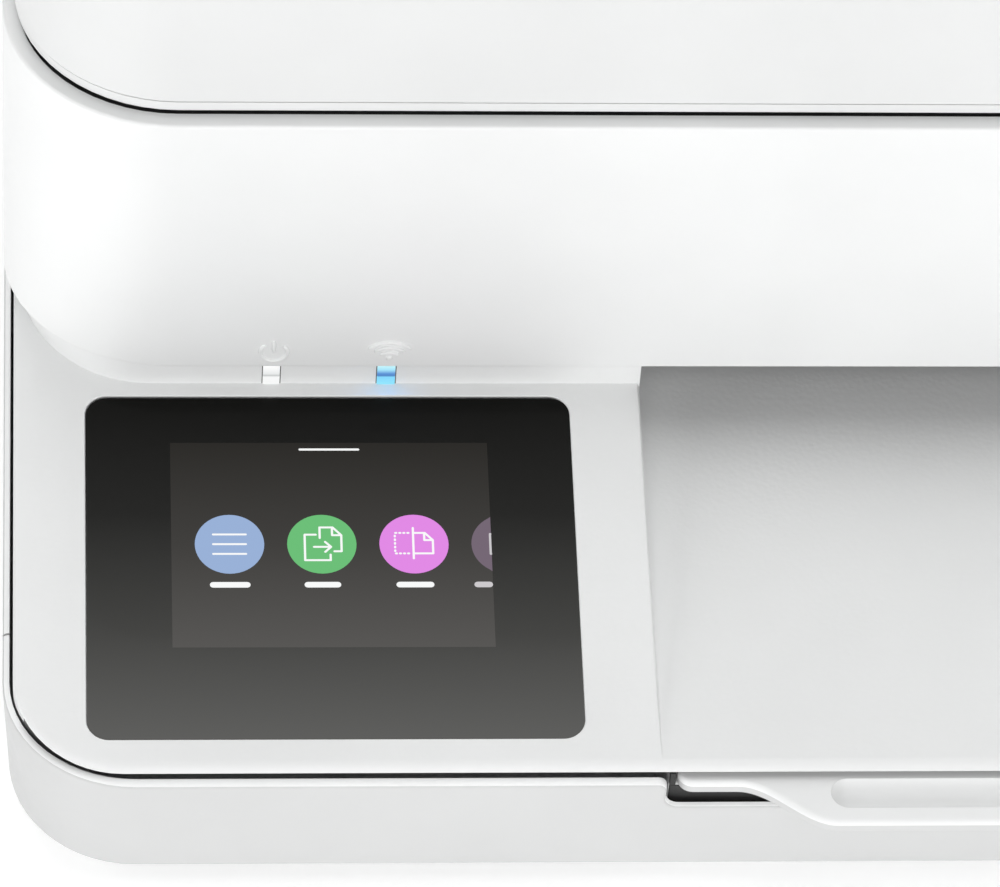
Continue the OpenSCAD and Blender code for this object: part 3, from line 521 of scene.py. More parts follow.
def touch_glass():
    """Black-backed glass with a painted reflection that grows paler towards its lower edge."""
    n = Nodes("touch_glass")
    painted_reflection = n.ramp(n.along("Y", glass_high.y, glass_low.y), [
        (0.0, (0.004, 0.004, 0.0035)), (0.35, (0.016, 0.016, 0.015)),
        (0.7, (0.054, 0.054, 0.051)), (1.0, (0.105, 0.105, 0.101)),
    ])
    return n.surface({
        "Emission Color": painted_reflection,
        "Roughness": n.spread(n.noise(9, 3), 0.05, 0.09),
        "Normal": n.bump(n.noise(30, 1), 0.01),
    }, Base_Color=(0.002, 0.002, 0.002, 1), Emission_Strength=1.0, Specular_IOR_Level=0.05)


def clear_glass():
    """Flatbed glass with a green cast."""
    n = Nodes("flatbed_glass")
    return n.surface({
        "Base Color": n.ramp(n.noise(40, 1), [(0.3, (0.86, 0.93, 0.91)), (0.7, (0.9, 0.96, 0.94))]),
        "Roughness": n.spread(n.noise(12, 2), 0.01, 0.04),
    }, Transmission_Weight=0.92, IOR=1.5)


WHITE = (0.857, 0.864, 0.862)
# Painted shade: near-black and dark grey plastics put in gaps, crevices and recesses where only shade falls.
inner_painted_shade = plastic("inner_shadow", (0.05, 0.05, 0.05), 0.7)
gap_painted_shade = plastic("gap_shadow", (0.14, 0.14, 0.14), 0.7)
white_shell = plastic("white_shell", WHITE, 0.42, 0.45, 0.006)
# Darker copy of the housing white for the lid: painted shade.
lid_painted_shade = plastic("lid_painted_shade", shade(WHITE, 0.87), 0.42, 0.45, 0.006)
# Darker copy of the white for the base walls, tray front and extender front faces: painted shade.
base_painted_shade = plastic("base_painted_shade", shade(WHITE, 0.735), 0.42, 0.45, 0.006)
panel_shell = plastic("panel_shell", shade(WHITE, 0.985), 0.46, 0.5, 0.01, leather=0.02)
tray_white = plastic("tray_plastic", shade(WHITE, 1.02), 0.42, 0.5, 0.006)
# Lighter copy of the white for the rim of the base: painted highlight.
rim_painted_highlight = plastic("rim_painted_highlight", shade(WHITE, 1.12), 0.42, 0.45, 0.006)
glass_black = touch_glass()
# Screen backdrop: its own dark glow, with a painted reflection that grows paler towards the lower edge.
SCREEN_GLOW_AND_REFLECTION = [(0.0, (0.0265, 0.0250, 0.0225)), (0.5, (0.053, 0.051, 0.048)),
               (1.0, (0.098, 0.095, 0.091))]

# Finish of each material slot.
finish = {
    "white_shell": white_shell,
    "panel_shell": panel_shell,
    "tray_plastic": tray_white,
    "display_glass": glass_black,
    "lcd": plastic("lcd_frame", (0.12, 0.12, 0.13), 0.4),
    "flatbed_glass": clear_glass(),
}
for name, *look in (
    ("light_pipe", (0.9, 0.95, 1.0), 0.2),
    ("rubber", (0.05, 0.05, 0.052), 0.85, 0.3, 0.02, 0.0, 0.2),
    ("engine_plastic", (0.055, 0.056, 0.06), 0.5, 0.5, 0.02),
    ("carriage_plastic", (0.085, 0.087, 0.095), 0.5, 0.5, 0.02),
    ("gear_plastic", (0.78, 0.74, 0.62), 0.45, 0.4, 0.01),
    ("guide_plastic", (0.42, 0.45, 0.48), 0.45, 0.5, 0.015),
    ("circuit_board", (0.03, 0.17, 0.08), 0.4, 1.2, 0.03),
    ("supply_case", (0.06, 0.06, 0.065), 0.55, 0.6, 0.02),
    ("socket_plastic", (0.03, 0.03, 0.032), 0.5, 0.4, 0.015),
    ("ink_case", (0.035, 0.035, 0.04), 0.42, 0.4, 0.01),
    ("colour_ink_case", (0.07, 0.1, 0.2), 0.42, 0.4, 0.01),
    ("latch_plastic", (0.2, 0.3, 0.45), 0.45, 0.4, 0.012),
    ("scanner_tub_plastic", (0.09, 0.09, 0.095), 0.6, 0.6, 0.02),
    ("scan_bar_plastic", (0.04, 0.04, 0.042), 0.45),
    ("lid_foam", (0.86, 0.86, 0.85), 0.85, 0.35, 0.05, 0.0, 0.1),
    ("roller_rubber", (0.06, 0.06, 0.065), 0.8, 0.25, 0.03, 0.0, 0.2),
):
    finish[name] = plastic(name, *look)
for name, *look in (
    ("steel", (0.62, 0.63, 0.64), 0.34),
    ("chrome_rod", (0.78, 0.79, 0.8), 0.12, (1, 8, 8), 0.001),
    ("motor_metal", (0.5, 0.5, 0.52), 0.4, (1, 10, 10)),
    ("socket_metal", (0.7, 0.7, 0.71), 0.28, (1, 12, 12)),
):
    finish[name] = metal(name, *look)


# ---- base and tray front

def wall_station(x, y, nx, ny, profile, rim, lean=(0.0, 1.0)):
    """One cross-section of the base wall. nx, ny point inwards; lean is the rim's outward direction in XZ."""
    points = []
    for t, drop, z in profile:
        if drop is None:
            points.append((x + nx * t - lean[0] * RIM_DROP, y + ny * t, z))
        else:
            points.append((x + nx * t - lean[0] * drop, y + ny * t, rim - lean[1] * drop))
    return points


def wall_profile(width, z0, draft=0.9):
    """Cross-section of the base wall as (depth inwards, drop below the rim or None, height)."""
    points = [
        (INNER_WALL, None, z0),
        (draft + 0.5, None, z0),
        (draft + 0.15, None, z0 + 0.12),
        (draft, None, z0 + 0.45),
    ]
    points += [(depth, drop, None) for depth, drop in RIM_OUTER]
    points += [(width - depth, drop, None) for depth, drop in RIM_INNER]
    return points


def corner_stations(cx, cy, first, last, z0=FLOOR):
    """Wall cross-sections round one corner of the base, between two angles in degrees."""
    stations = []
    for k in range(ARC + 1):
        a = math.radians(first + (last - first) * k / ARC)
        out = (math.cos(a), math.sin(a))
        width = SIDE_RIM + (FRONT_RIM - SIDE_RIM) * out[1] ** 2
        profile = wall_profile(width, z0, 0.9 - 0.8 * out[1] ** 2)
        stations.append(wall_station(
            cx + BASE_R * out[0], cy + BASE_R * out[1], -out[0], -out[1], profile, RIM))
    return stations


def wall_paint(row, place):
    """Materials round the base wall: its faces in the darker copy of the white, painted shade, and its rim in
    the lighter copy, painted highlight.
    """
    return 2 if RIM_STARTS <= place < RIM_ENDS else 0


def notch_stations(x, flip, z0, notch_z=17.5, upper=1.4, lower=2.0, steps=7):
    """Rim path down one end of the extender's notch: flip is 1 at the left end, -1 at the right end."""
    stations = []
    for k in range(steps + 1):
        a = math.pi / 2 * k / steps
        stations.append(wall_station(
            x - flip * upper * (1 - math.sin(a)), FRONT, 0, 1, wall_profile(FRONT_RIM, z0, 0.1),
            RIM - upper * (1 - math.cos(a)), (flip * math.sin(a), math.cos(a))))
    for k in range(steps + 1):
        a = math.pi / 2 * (1 - k / steps)
        stations.append(wall_station(
            x + flip * lower * (1 - math.sin(a)), FRONT, 0, 1, wall_profile(NOTCH_RIM, z0, 0.1),
            notch_z + lower * (1 - math.cos(a)), (flip * math.sin(a), math.cos(a))))
    return stations


def build_tray_front():
    """Tray front that wraps round both front corners, with the notch for the output extender."""
    shape = Shape()
    z0 = fascia_low.z
    cy = FRONT + BASE_R
    ends = [wall_station(-SIDE, y, 1, 0, wall_profile(SIDE_RIM, z0), RIM) for y in (SEAM, SEAM - 0.4)]
    stations = ends + corner_stations(-SIDE + BASE_R, cy, 180, 270, z0=z0)
    stations += notch_stations(NOTCH_LEFT, 1, z0)
    stations += reversed(notch_stations(NOTCH_RIGHT, -1, z0))
    stations += corner_stations(SIDE - BASE_R, cy, 270, 360, z0=z0)
    stations += [wall_station(SIDE, y, -1, 0, wall_profile(SIDE_RIM, z0), RIM) for y in (SEAM - 0.4, SEAM)]
    shape.solid(stations, paint=wall_paint)
    # Near-black screen and posts behind the notch: painted shade where the gap under the extender falls dark.
    screen = (NOTCH_LEFT + 0.5, NOTCH_RIGHT - 0.5, FRONT + 2.2, FRONT + 2.8)
    slab(shape, screen, 0.2, z0 + 1, extender_low.z - 0.4, 0.1, paint=1)
    for x0, x1 in ((screen[0], EXTENDER_X0 - 0.15), (EXTENDER_X1 + 0.15, screen[1])):
        slab(shape, (x0, x1, screen[2] + 0.1, screen[3] + 0.3), 0.2, z0 + 1, RIM - 0.3, 0.1, paint=1)
    make("tray_front", shape, "paper_tray", [base_painted_shade, inner_painted_shade, rim_painted_highlight],
         ["tray_fascia"])


def build_base():
    """Side and back walls of the base, its floor, and the openings for the sockets and rear buttons."""
    shape = Shape()
    cy = BACK - BASE_R
    seam = SEAM + 0.4
    stations = [wall_station(SIDE, y, -1, 0, wall_profile(SIDE_RIM, FLOOR), RIM) for y in (seam, seam + 0.4)]
    stations += corner_stations(SIDE - BASE_R, cy, 0, 90)
    stations += corner_stations(-SIDE + BASE_R, cy, 90, 180)
    stations += [wall_station(-SIDE, y, 1, 0, wall_profile(SIDE_RIM, FLOOR), RIM) for y in (seam + 0.4, seam)]
    shape.solid(stations, paint=wall_paint)
    piece = make("base_walls", shape, "printer_base", [base_painted_shade, inner_painted_shade, rim_painted_highlight],
                 ["base_shell"])
    holes = Shape()
    cutter_box(holes, (-170, BACK - 5, 5.5), (-146, BACK + 1, 20.5))
    cutter_box(holes, (-118, BACK - 5, 6), (-105, BACK + 1, 18))
    for x in (150, 172):
        bar(holes, (x, BACK - 5, 13), (x, BACK + 1, 13), 4.3, 0.01)
    cut(piece, holes)
    floor = Shape()
    slab(floor, (-SIDE + 1.6, SIDE - 1.6, FRONT + 4, BACK - 1.6), BASE_R - 2, FLOOR, FLOOR + 2, 0.4)
    for x in (-60, 0, 60):
        slab(floor, (x - 18, x + 18, 60, 130), 4, FLOOR - 0.6, FLOOR + 0.2, 0.3)
    for x in (BAY_LEFT - 0.9, BAY_RIGHT + 0.9):
        for y in (-135, -45, 45):
            slab(floor, (x - 0.8, x + 0.8, y, y + 60), 0.7, FLOOR + 1.5, 14, 0.3)
    make("base_floor", floor, "printer_base", [white_shell])


# ---- upper housing

def panel_z(y):
    """Height of the tilted control panel."""
    return LIP_Z + (y - LIP_Y) * SLOPE


def shelf_z(y):
    """Height of the housing's top along its depth, outside the output bay."""
    if y <= DECK_Y:
        return min(panel_z(y), SHELF_Z)
    return max(DECK_Z, SHELF_Z - (y - DECK_Y) * DECK_FALL)


# Cross-section of the step from the panel down to the bay floor: distance into the bay, share of the height.
BAY_EDGE = [(-0.55, 1.0), (-0.38, 0.994), (-0.24, 0.975), (-0.13, 0.94), (-0.05, 0.88), (0.0, 0.8),
            (0.1, 0.18), (0.17, 0.07), (0.3, 0.018), (0.5, 0.0)]


def bay_share(x):
    """How much of the panel's height is left at x: 1 on the panel, 0 on the bay floor."""
    u = min(x - BAY_LEFT, BAY_RIGHT - x)
    if u <= BAY_EDGE[0][0]:
        return 1.0
    for (ua, fa), (ub, fb) in zip(BAY_EDGE, BAY_EDGE[1:]):
        if u <= ub:
            return fa + (fb - fa) * (u - ua) / (ub - ua)
    return 0.0


def case_z(x, y):
    """Height of the upper housing's surface."""
    top = shelf_z(y)
    if BAY_LEFT - 4 < x < BAY_RIGHT + 4:
        top = min(top, CHEEK_Z)
        if y > BAY_BACK + 1:
            return top
        floor = min(LIP_Z, top)
        return floor + (top - floor) * bay_share(x)
    return top


def case_ring(inset_side, inset_front):
    """Outline of the upper housing at its surface."""
    loop = ring(CASE, CASE_R, 0, inset_side, inset_front, 1.0, BENDS)
    return [(x, y, shelf_z(y)) for x, y, _ in loop]


def seat_ring(inset, depth):
    """Rounded outline of the glass seat in the plane of the panel, sunk by depth along its normal."""
    loop = ring(SEAT, SEAT_R, 0, inset, inset)
    return [(x, y + depth * math.sin(TILT), panel_z(y) - depth * math.cos(TILT)) for x, y, _ in loop]


def build_upper_housing():
    """Control panel, output bay, shelf and deck as one moulding, with the engine well cut out."""
    shape = Shape()
    outline = case_ring(EDGE_SIDE, EDGE_FRONT)
    well = ring(WELL, WELL_R, 0)
    entry = [
        (BAY_LEFT - CHEEK, WELL[2], 0), (BAY_LEFT - CHEEK, BAY_BACK, 0),
        (BAY_RIGHT + CHEEK, BAY_BACK, 0), (BAY_RIGHT + CHEEK, WELL[2], 0),
    ]
    split = ARC + 1
    well = well[:split] + entry + well[split:]
    y_front = CASE[2] + EDGE_FRONT
    rows = [y_front + (BAY_BACK - y_front) * (k / 30) for k in range(31)]
    lines = []
    for u, _ in BAY_EDGE:
        lines += [[(BAY_LEFT + u, y) for y in rows], [(BAY_RIGHT - u, y) for y in rows]]
    reach = CASE[1] - EDGE_SIDE
    for y in BENDS:
        if y < DECK_Y:
            lines += [[(-reach, y), (WELL[0], y)], [(WELL[1], y), (reach, y)]]
        else:
            lines.append([(-reach, y), (reach, y)])
    points, triangles = fill(outline, [well, seat_ring(-0.3, 0)], lines)
    shape.sheet([(x, y, case_z(x, y)) for x, y in points], triangles)

    # Rolled outer edge and the skirt that nests inside the rim of the base, the skirt partly in painted
    # shade.
    loops = []
    steps = 9
    for k in range(steps + 1):
        a = EDGE_TURN * k / steps
        side = EDGE_SIDE - EDGE_SIDE_R * math.sin(a)
        front = EDGE_FRONT - EDGE_FRONT_R * math.sin(a)
        fall = 1 - math.cos(a)
        loops.append([(x, y, z - edge_radius(y) * fall) for x, y, z in case_ring(side, front)])
    rolled = len(loops)
    loops.append([(x, y, z - 0.12) for x, y, z in loops[-1]])
    under = case_ring(0, 2.3)
    loops.append([(x, y, min(z, loops[-1][i][2]) - 0.2) for i, (x, y, z) in enumerate(under)])
    loops.append([(x, y, min(z, RIM + 0.2)) for x, y, z in loops[-1]])
    loops.append([(x, y, SKIRT_Z) for x, y, _ in under])
    edge_line = loops[rolled - 1]

    def skirt_shade_paint(row, place):
        """Painted shade in the gap to the base: below the rim everywhere, and above it where the housing is
        low.
        """
        low = edge_line[place][2] < RIM + 2.6
        return 1 if row > rolled + 1 or (row >= rolled and low) else 0

    shape.loft(loops, paint=skirt_shade_paint)

    # Inner edge of the well, and the seat of the glass.
    shape.loft([
        [(x, y, case_z(x, y)) for x, y, _ in well],
        [(x, y, case_z(x, y) - 2.2) for x, y, _ in well],
    ])
    shape.loft([seat_ring(-0.3, 0), seat_ring(-0.1, 0.04), seat_ring(0, 0.2), seat_ring(0, 1.2)], end=True)
    make("upper_housing", shape, "printer_base", [panel_shell, gap_painted_shade], ["top_case"])


def edge_radius(y):
    """Radius of the rolled edge: larger along the front than along the sides."""
    facing = max(0.0, (CASE[2] + CASE_R - y) / CASE_R)
    return EDGE_SIDE_R + (EDGE_FRONT_R - EDGE_SIDE_R) * min(1.0, facing) ** 2


def build_neck():
    """Recessed neck under the scanner unit, either side of the output bay, with its back wall."""
    shape = Shape()
    box = (-SIDE + NECK_INSET, SIDE - NECK_INSET, NECK_Y, BACK)
    r = NECK_R
    profile = [(2, 30), (0, 30), (0, NECK_TOP - 0.5), (0.15, NECK_TOP - 0.15), (0.5, NECK_TOP),
               (1.5, NECK_TOP), (1.85, NECK_TOP - 0.15), (2, NECK_TOP - 0.5)]

    def station(x, y, nx, ny):
        return [(x + nx * t, y + ny * t, z) for t, z in profile]

    for side, edge in ((-1, BAY_LEFT), (1, BAY_RIGHT)):
        x_wall = side * (SIDE - NECK_INSET)
        cx = x_wall - side * r
        cy = box[2] + r
        stations = [station(edge, box[2], 0, 1)]
        for k in range(ARC + 1):
            a = math.pi / 2 * k / ARC
            stations.append(station(cx + side * r * math.sin(a), cy - r * math.cos(a),
                                    -side * math.sin(a), math.cos(a)))
        stations.append(station(x_wall, DECK_Y, -side, 0))
        shape.solid(stations)
    slab(shape, (-SIDE + 5, SIDE - 5, DECK_Y - 2, DECK_Y), 0.8, 30, NECK_TOP, 0.4)
    for x in LIFT_XS:
        for side in (-1, 1):
            x0 = x + side * 12 - 4
            bar(shape, (x0, LIFT_Y, LIFT_Z), (x0 + 8, LIFT_Y, LIFT_Z), 3, 0.4)
            slab(shape, (x0, x0 + 8, LIFT_Y - 3, LIFT_Y + 3), 0.6, DECK_Z - 1, LIFT_Z, 0.3)
    make("housing_neck", shape, "printer_base", [panel_shell])


# ---- touch screen and light windows

def on_panel(x, t, lift=0.0):
    """Point on the control panel: t runs up the slope from the front lip, lift is out of it."""
    return (x, LIP_Y + t * math.cos(TILT) - lift * math.sin(TILT),
            LIP_Z + t * math.sin(TILT) + lift * math.cos(TILT))


GLASS_X = glass_low.x
GLASS_T = 3.03
GLASS_LIFT = -0.2
GLASS_W = glass_high.x - glass_low.x + 0.33
GLASS_L = 61.5
SCREEN = (GLASS_X + 13.05, GLASS_X + 61.98, GLASS_T + 16.15, GLASS_T + 53.0)


def build_touch_glass():
    """Black glass with eased edges, and the lit screen as an area of the same surface."""
    shape = Shape()
    box = (GLASS_X, GLASS_X + GLASS_W, GLASS_T, GLASS_T + GLASS_L)

    def loop(inset, lift):
        return [on_panel(x, t, lift) for x, t, _ in ring(box, SEAT_R, 0, inset, inset)]

    loops = [loop(0.1, -1.1), loop(0.1, -0.5), loop(0.14, -0.34), loop(0.25, -0.23), loop(0.45, GLASS_LIFT)]
    shape.loft(loops, start=True)
    plan = [(x, t) for x, t, _ in ring(box, SEAT_R, 0, 0.45, 0.45)]
    x0, x1, t0, t1 = SCREEN
    screen = [(x0, t0), (x1, t0), (x1, t1), (x0, t1)]
    points, triangles = fill(plan, [], [screen + screen[:1]])
    ids = shape.add([on_panel(x, t, GLASS_LIFT) for x, t in points])
    for corners in triangles:
        middle = [sum(points[i][axis] for i in corners) / 3 for axis in (0, 1)]
        shape.face([ids[i] for i in corners], 1 if inside(middle, screen) else 0)
    low_y = on_panel(0, t0)[1]
    high_y = on_panel(0, t1)[1]
    # The screen's backdrop glows, with a painted reflection that grows paler towards its lower edge.
    lit = glow("screen_backdrop", SCREEN_GLOW_AND_REFLECTION, high_y, low_y)
    make("touch_glass", shape, "printer_base", [glass_black, lit],
         ["display_glass"])


ICON_T = GLASS_T + 34.54
ICON_R = 5.3
ICON_XS = tuple(GLASS_X + 21.93 + 14.1 * index for index in range(4))
LINE = 0.17
WHITE_PAINT = 4
DIM_PAINT = 5


def build_screen_graphics():
    """Four round tiles with plain pictograms, plain caption bars and the pull-down handle."""
    shape = Shape()

    def disc(cx, ct, r, lift, paint, limit):
        points = []
        for k in range(48):
            a = 2 * math.pi * k / 48
            x = cx + r * math.cos(a)
            points.append(on_panel(min(x, limit), ct + r * math.sin(a), GLASS_LIFT + lift))
        shape.face(shape.add(points), paint)

    def stroke(x, points, width=LINE, paint=WHITE_PAINT):
        """Flat line with round joints through points given from (x, ICON_T) on the panel."""
        lift = 0.05
        corners = [(x + dx, ICON_T + dt) for dx, dt in points]
        for (xa, ta), (xb, tb) in zip(corners, corners[1:]):
            heading = math.atan2(tb - ta, xb - xa)
            outline = []
            for k in range(7):
                a = heading - math.pi / 2 + math.pi * k / 6
                outline.append((xb + width * math.cos(a), tb + width * math.sin(a)))
            for k in range(7):
                a = heading + math.pi / 2 + math.pi * k / 6
                outline.append((xa + width * math.cos(a), ta + width * math.sin(a)))
            shape.face(shape.add([on_panel(x, t, GLASS_LIFT + lift) for x, t in outline]), paint)
            lift += 0.0004

    edge = SCREEN[1]
    for index, x in enumerate(ICON_XS):
        disc(x, ICON_T, ICON_R, 0.03, index, edge)

    # Three lines.
    for t in (-1.75, 0, 1.75):
        stroke(ICON_XS[0], [(-2.5, t), (2.5, t)])

    # Two pages and an arrow.
    for line in (
        [(-0.3, 1.1), (-0.3, 3.0), (1.7, 3.0), (3.0, 1.6), (3.0, -1.3), (1.9, -1.3)],
        [(1.6, 3.0), (1.6, 1.6), (3.0, 1.6)],
        [(-0.9, 1.7), (-2.6, 1.7), (-2.6, -2.9), (1.3, -2.9), (1.3, -1.9)],
        [(-1.2, -0.5), (1.4, -0.5)],
        [(0.5, 0.4), (1.4, -0.5), (0.5, -1.4)],
    ):
        stroke(ICON_XS[1], line)

    # A dotted half page and a page.
    for line in (
        [(0.1, 2.0), (1.7, 2.0), (2.9, 0.7), (2.9, -1.7), (0.1, -1.7)],
        [(1.6, 1.9), (1.6, 0.7), (2.9, 0.7)],
        [(-0.1, 2.9), (-0.1, -2.6)],
    ):
        stroke(ICON_XS[2], line)
    for k in range(4):
        for t in (2.0, -1.7):
            stroke(ICON_XS[2], [(-0.8 - 0.62 * k, t), (-0.95 - 0.62 * k, t)])
    for k in range(5):
        stroke(ICON_XS[2], [(-2.9, 1.5 - 0.66 * k), (-2.9, 1.35 - 0.66 * k)])

    # Last tile, cut off by the edge of the screen.
    cut_off = edge - ICON_XS[3]
    end = cut_off - 0.1
    stroke(ICON_XS[3], [(end, 1.8), (-2.4, 1.8), (-2.4, -1.8), (end, -1.8)], paint=DIM_PAINT)

    # Plain caption bars and the pull-down handle.
    caption = -7.3
    for x, half in zip(ICON_XS[:3], (2.6, 2.3, 2.4)):
        stroke(x, [(-half, caption), (half, caption)], 0.5)
    stroke(ICON_XS[3], [(-4.6, caption), (cut_off - 0.5, caption)], 0.5, DIM_PAINT)
    handle = SCREEN[3] - 1.25 - ICON_T
    stroke((SCREEN[0] + SCREEN[1]) / 2, [(-4.5, handle), (4.5, handle)], 0.19)

    def even(name, colour):
        return glow(name, [(0.0, shade(colour, 1.02)), (1.0, colour)], -1, 1, axis="X")

    paints = [
        even("tile_blue", (0.314, 0.434, 0.672)),
        even("tile_green", (0.149, 0.514, 0.187)),
        even("tile_magenta", (0.745, 0.251, 0.775)),
        even("tile_grey", (0.175, 0.135, 0.175)),
        even("screen_white", (0.93, 0.94, 0.94)),
        even("screen_dim", (0.6, 0.58, 0.6)),
    ]
    make("screen_graphics", shape, "printer_base", paints, angle=5)


LIGHTS = ((lights_low.x + 1.3, 1.3), (lights_high.x - 1.4, 1.4))


def build_light_windows():
    """Two small windows in the neck, for power and for the wireless link."""
    # Each window's glow dims in a band at its crease: painted shade in the crease.
    white = glow("power_light",
                 [(0.0, (0.93, 0.94, 0.94)), (0.28, (0.93, 0.94, 0.94)), (0.34, (0.56, 0.58, 0.58)),
                  (0.41, (0.80, 0.82, 0.82)), (0.60, (0.94, 0.95, 0.95)), (0.75, (1.0, 1.0, 1.0))],
                 SHELF_Z - 3.4, NECK_TOP, "Z")
    blue = glow("wireless_light",
                [(0.0, (0.30, 0.80, 1.0)), (0.28, (0.24, 0.70, 1.0)), (0.34, (0.09, 0.24, 0.56)),
                 (0.43, (0.12, 0.31, 0.70)), (0.58, (0.38, 0.78, 0.97)), (0.75, (0.58, 0.94, 1.0))],
                SHELF_Z - 3.4, NECK_TOP, "Z")
    for name, (x, half), paint in (("power_window", LIGHTS[0], white), ("wireless_window", LIGHTS[1], blue)):
        shape = Shape()
        y = NECK_Y
        z0, z1 = SHELF_Z - 4, NECK_TOP - 0.2
        crease = SHELF_Z - 1.8
        section = [(y - 0.22, z0), (y - 0.16, crease - 0.1), (y - 0.06, crease), (y - 0.14, crease + 0.1),
                   (y - 0.12, z1), (y + 2.8, z1), (y + 2.8, z0)]
        loops = []
        for dx, pull in ((-half, 0.08), (-half + 0.12, 0), (half - 0.12, 0), (half, 0.08)):
            loops.append([(x + dx, yy + (pull if yy < y else 0), zz) for yy, zz in section])
        shape.solid(loops)
        # Near-black strips either side of each window: painted shade in the gap round it.
        for side in (-1, 1):
            gap = sorted((x + side * (half + 0.02), x + side * (half + 0.17)))
            slab(shape, (gap[0], gap[1], y - 0.03, y + 1), 0.05, z0, z1, 0.02, paint=1)
        make(name, shape, "printer_base", [paint, inner_painted_shade],
             ["indicator_light_pipes"] if name == "power_window" else ())


# ---- output extender

def build_extender():
    """Sliding output extender: its front edge curves forward at each end, with a long finger groove."""
    x0, x1 = EXTENDER_X0, EXTENDER_X1
    y_in = FRONT + 0.6
    y_out = extender_low.y + 1.2
    y_back = extender_high.y
    curve_a, curve_b = x0 + 9.0, x0 + 23.8
    steps = 22
    corner = 2.4
    left = []
    for k in range(9):
        a = math.pi / 2 * k / 8
        left.append((x0 + corner * (1 - math.cos(a)), y_in + corner * (1 - math.sin(a))))
    for k in range(steps + 1):
        s = k / steps
        share = (1 - math.cos(math.pi * s)) / 2
        left.append((curve_a + (curve_b - curve_a) * s, y_in + (y_out - y_in) * share))
    right = [(x0 + x1 - x, y) for x, y in reversed(left)]
    plan = left + right
    for cx, cy, first in ((x1 - corner, y_back - corner, 0), (x0 + corner, y_back - corner, 90)):
        for k in range(9):
            a = math.radians(first + 90 * k / 8)
            plan.append((cx + corner * math.cos(a), cy + corner * math.sin(a)))

    def offset(inset):
        count = len(plan)
        result = []
        for i, (x, y) in enumerate(plan):
            ax, ay = plan[i - 1]
            bx, by = plan[(i + 1) % count]
            dx, dy = bx - ax, by - ay
            long = math.hypot(dx, dy)
            result.append((x - dy / long * inset, y + dx / long * inset))
        return result

    z0, z1 = extender_low.z - 0.1, extender_high.z
    shape = Shape()
    pairs = [(0.35, z0), (0.1, z0 + 0.1), (0.0, z0 + 0.3)]
    edge = 0.8
    pairs += round_top(edge, z1, 7)
    # The lowest rows, the front and side faces, take the darker copy of the white: painted shade.
    shape.loft([[(x, y, z) for x, y in offset(inset)] for inset, z in pairs], start=True,
               paint=lambda row, place: 1 if row < 3 else 0)
    groove_x0 = x0 + 22.9
    groove_y, groove_half = FRONT - 1.3, 2.75
    groove = (groove_x0, x0 + x1 - groove_x0, groove_y - groove_half, groove_y + groove_half)
    r = groove_half - 0.01
    points, triangles = fill(offset(edge), [ring(groove, r, z1)])
    shape.sheet([(x, y, z1) for x, y in points], triangles)
    depth = 1.35
    bowl_r = (groove_half ** 2 + depth ** 2) / (2 * depth)
    bowl = []
    for inset in (0, 0.1, 0.25, 0.5, 0.8, 1.15, 1.5, 1.9, 2.3, 2.65):
        across = groove_half - inset
        bowl.append(ring(groove, r, z1 - math.sqrt(bowl_r ** 2 - across ** 2) + bowl_r - depth, inset))
    shape.loft(bowl, end=True)
    make("extender_plate", shape, "output_extender", [tray_white, base_painted_shade],
         ["output_extender"], angle=50)


# ---- scanner unit

def scan_lean(z):
    """How far the scanner's front face stands back at a height."""
    return SCAN_TOP_INSET + SCAN_LEAN * (SCAN_Z1 - z) / (SCAN_Z1 - SCAN_Z0)


def scan_face(inset, z):
    """Outline of the scanner unit at a height, with its leaning front."""
    return ring(SCAN, SCAN_R, z, inset, inset + scan_lean(z), inset)


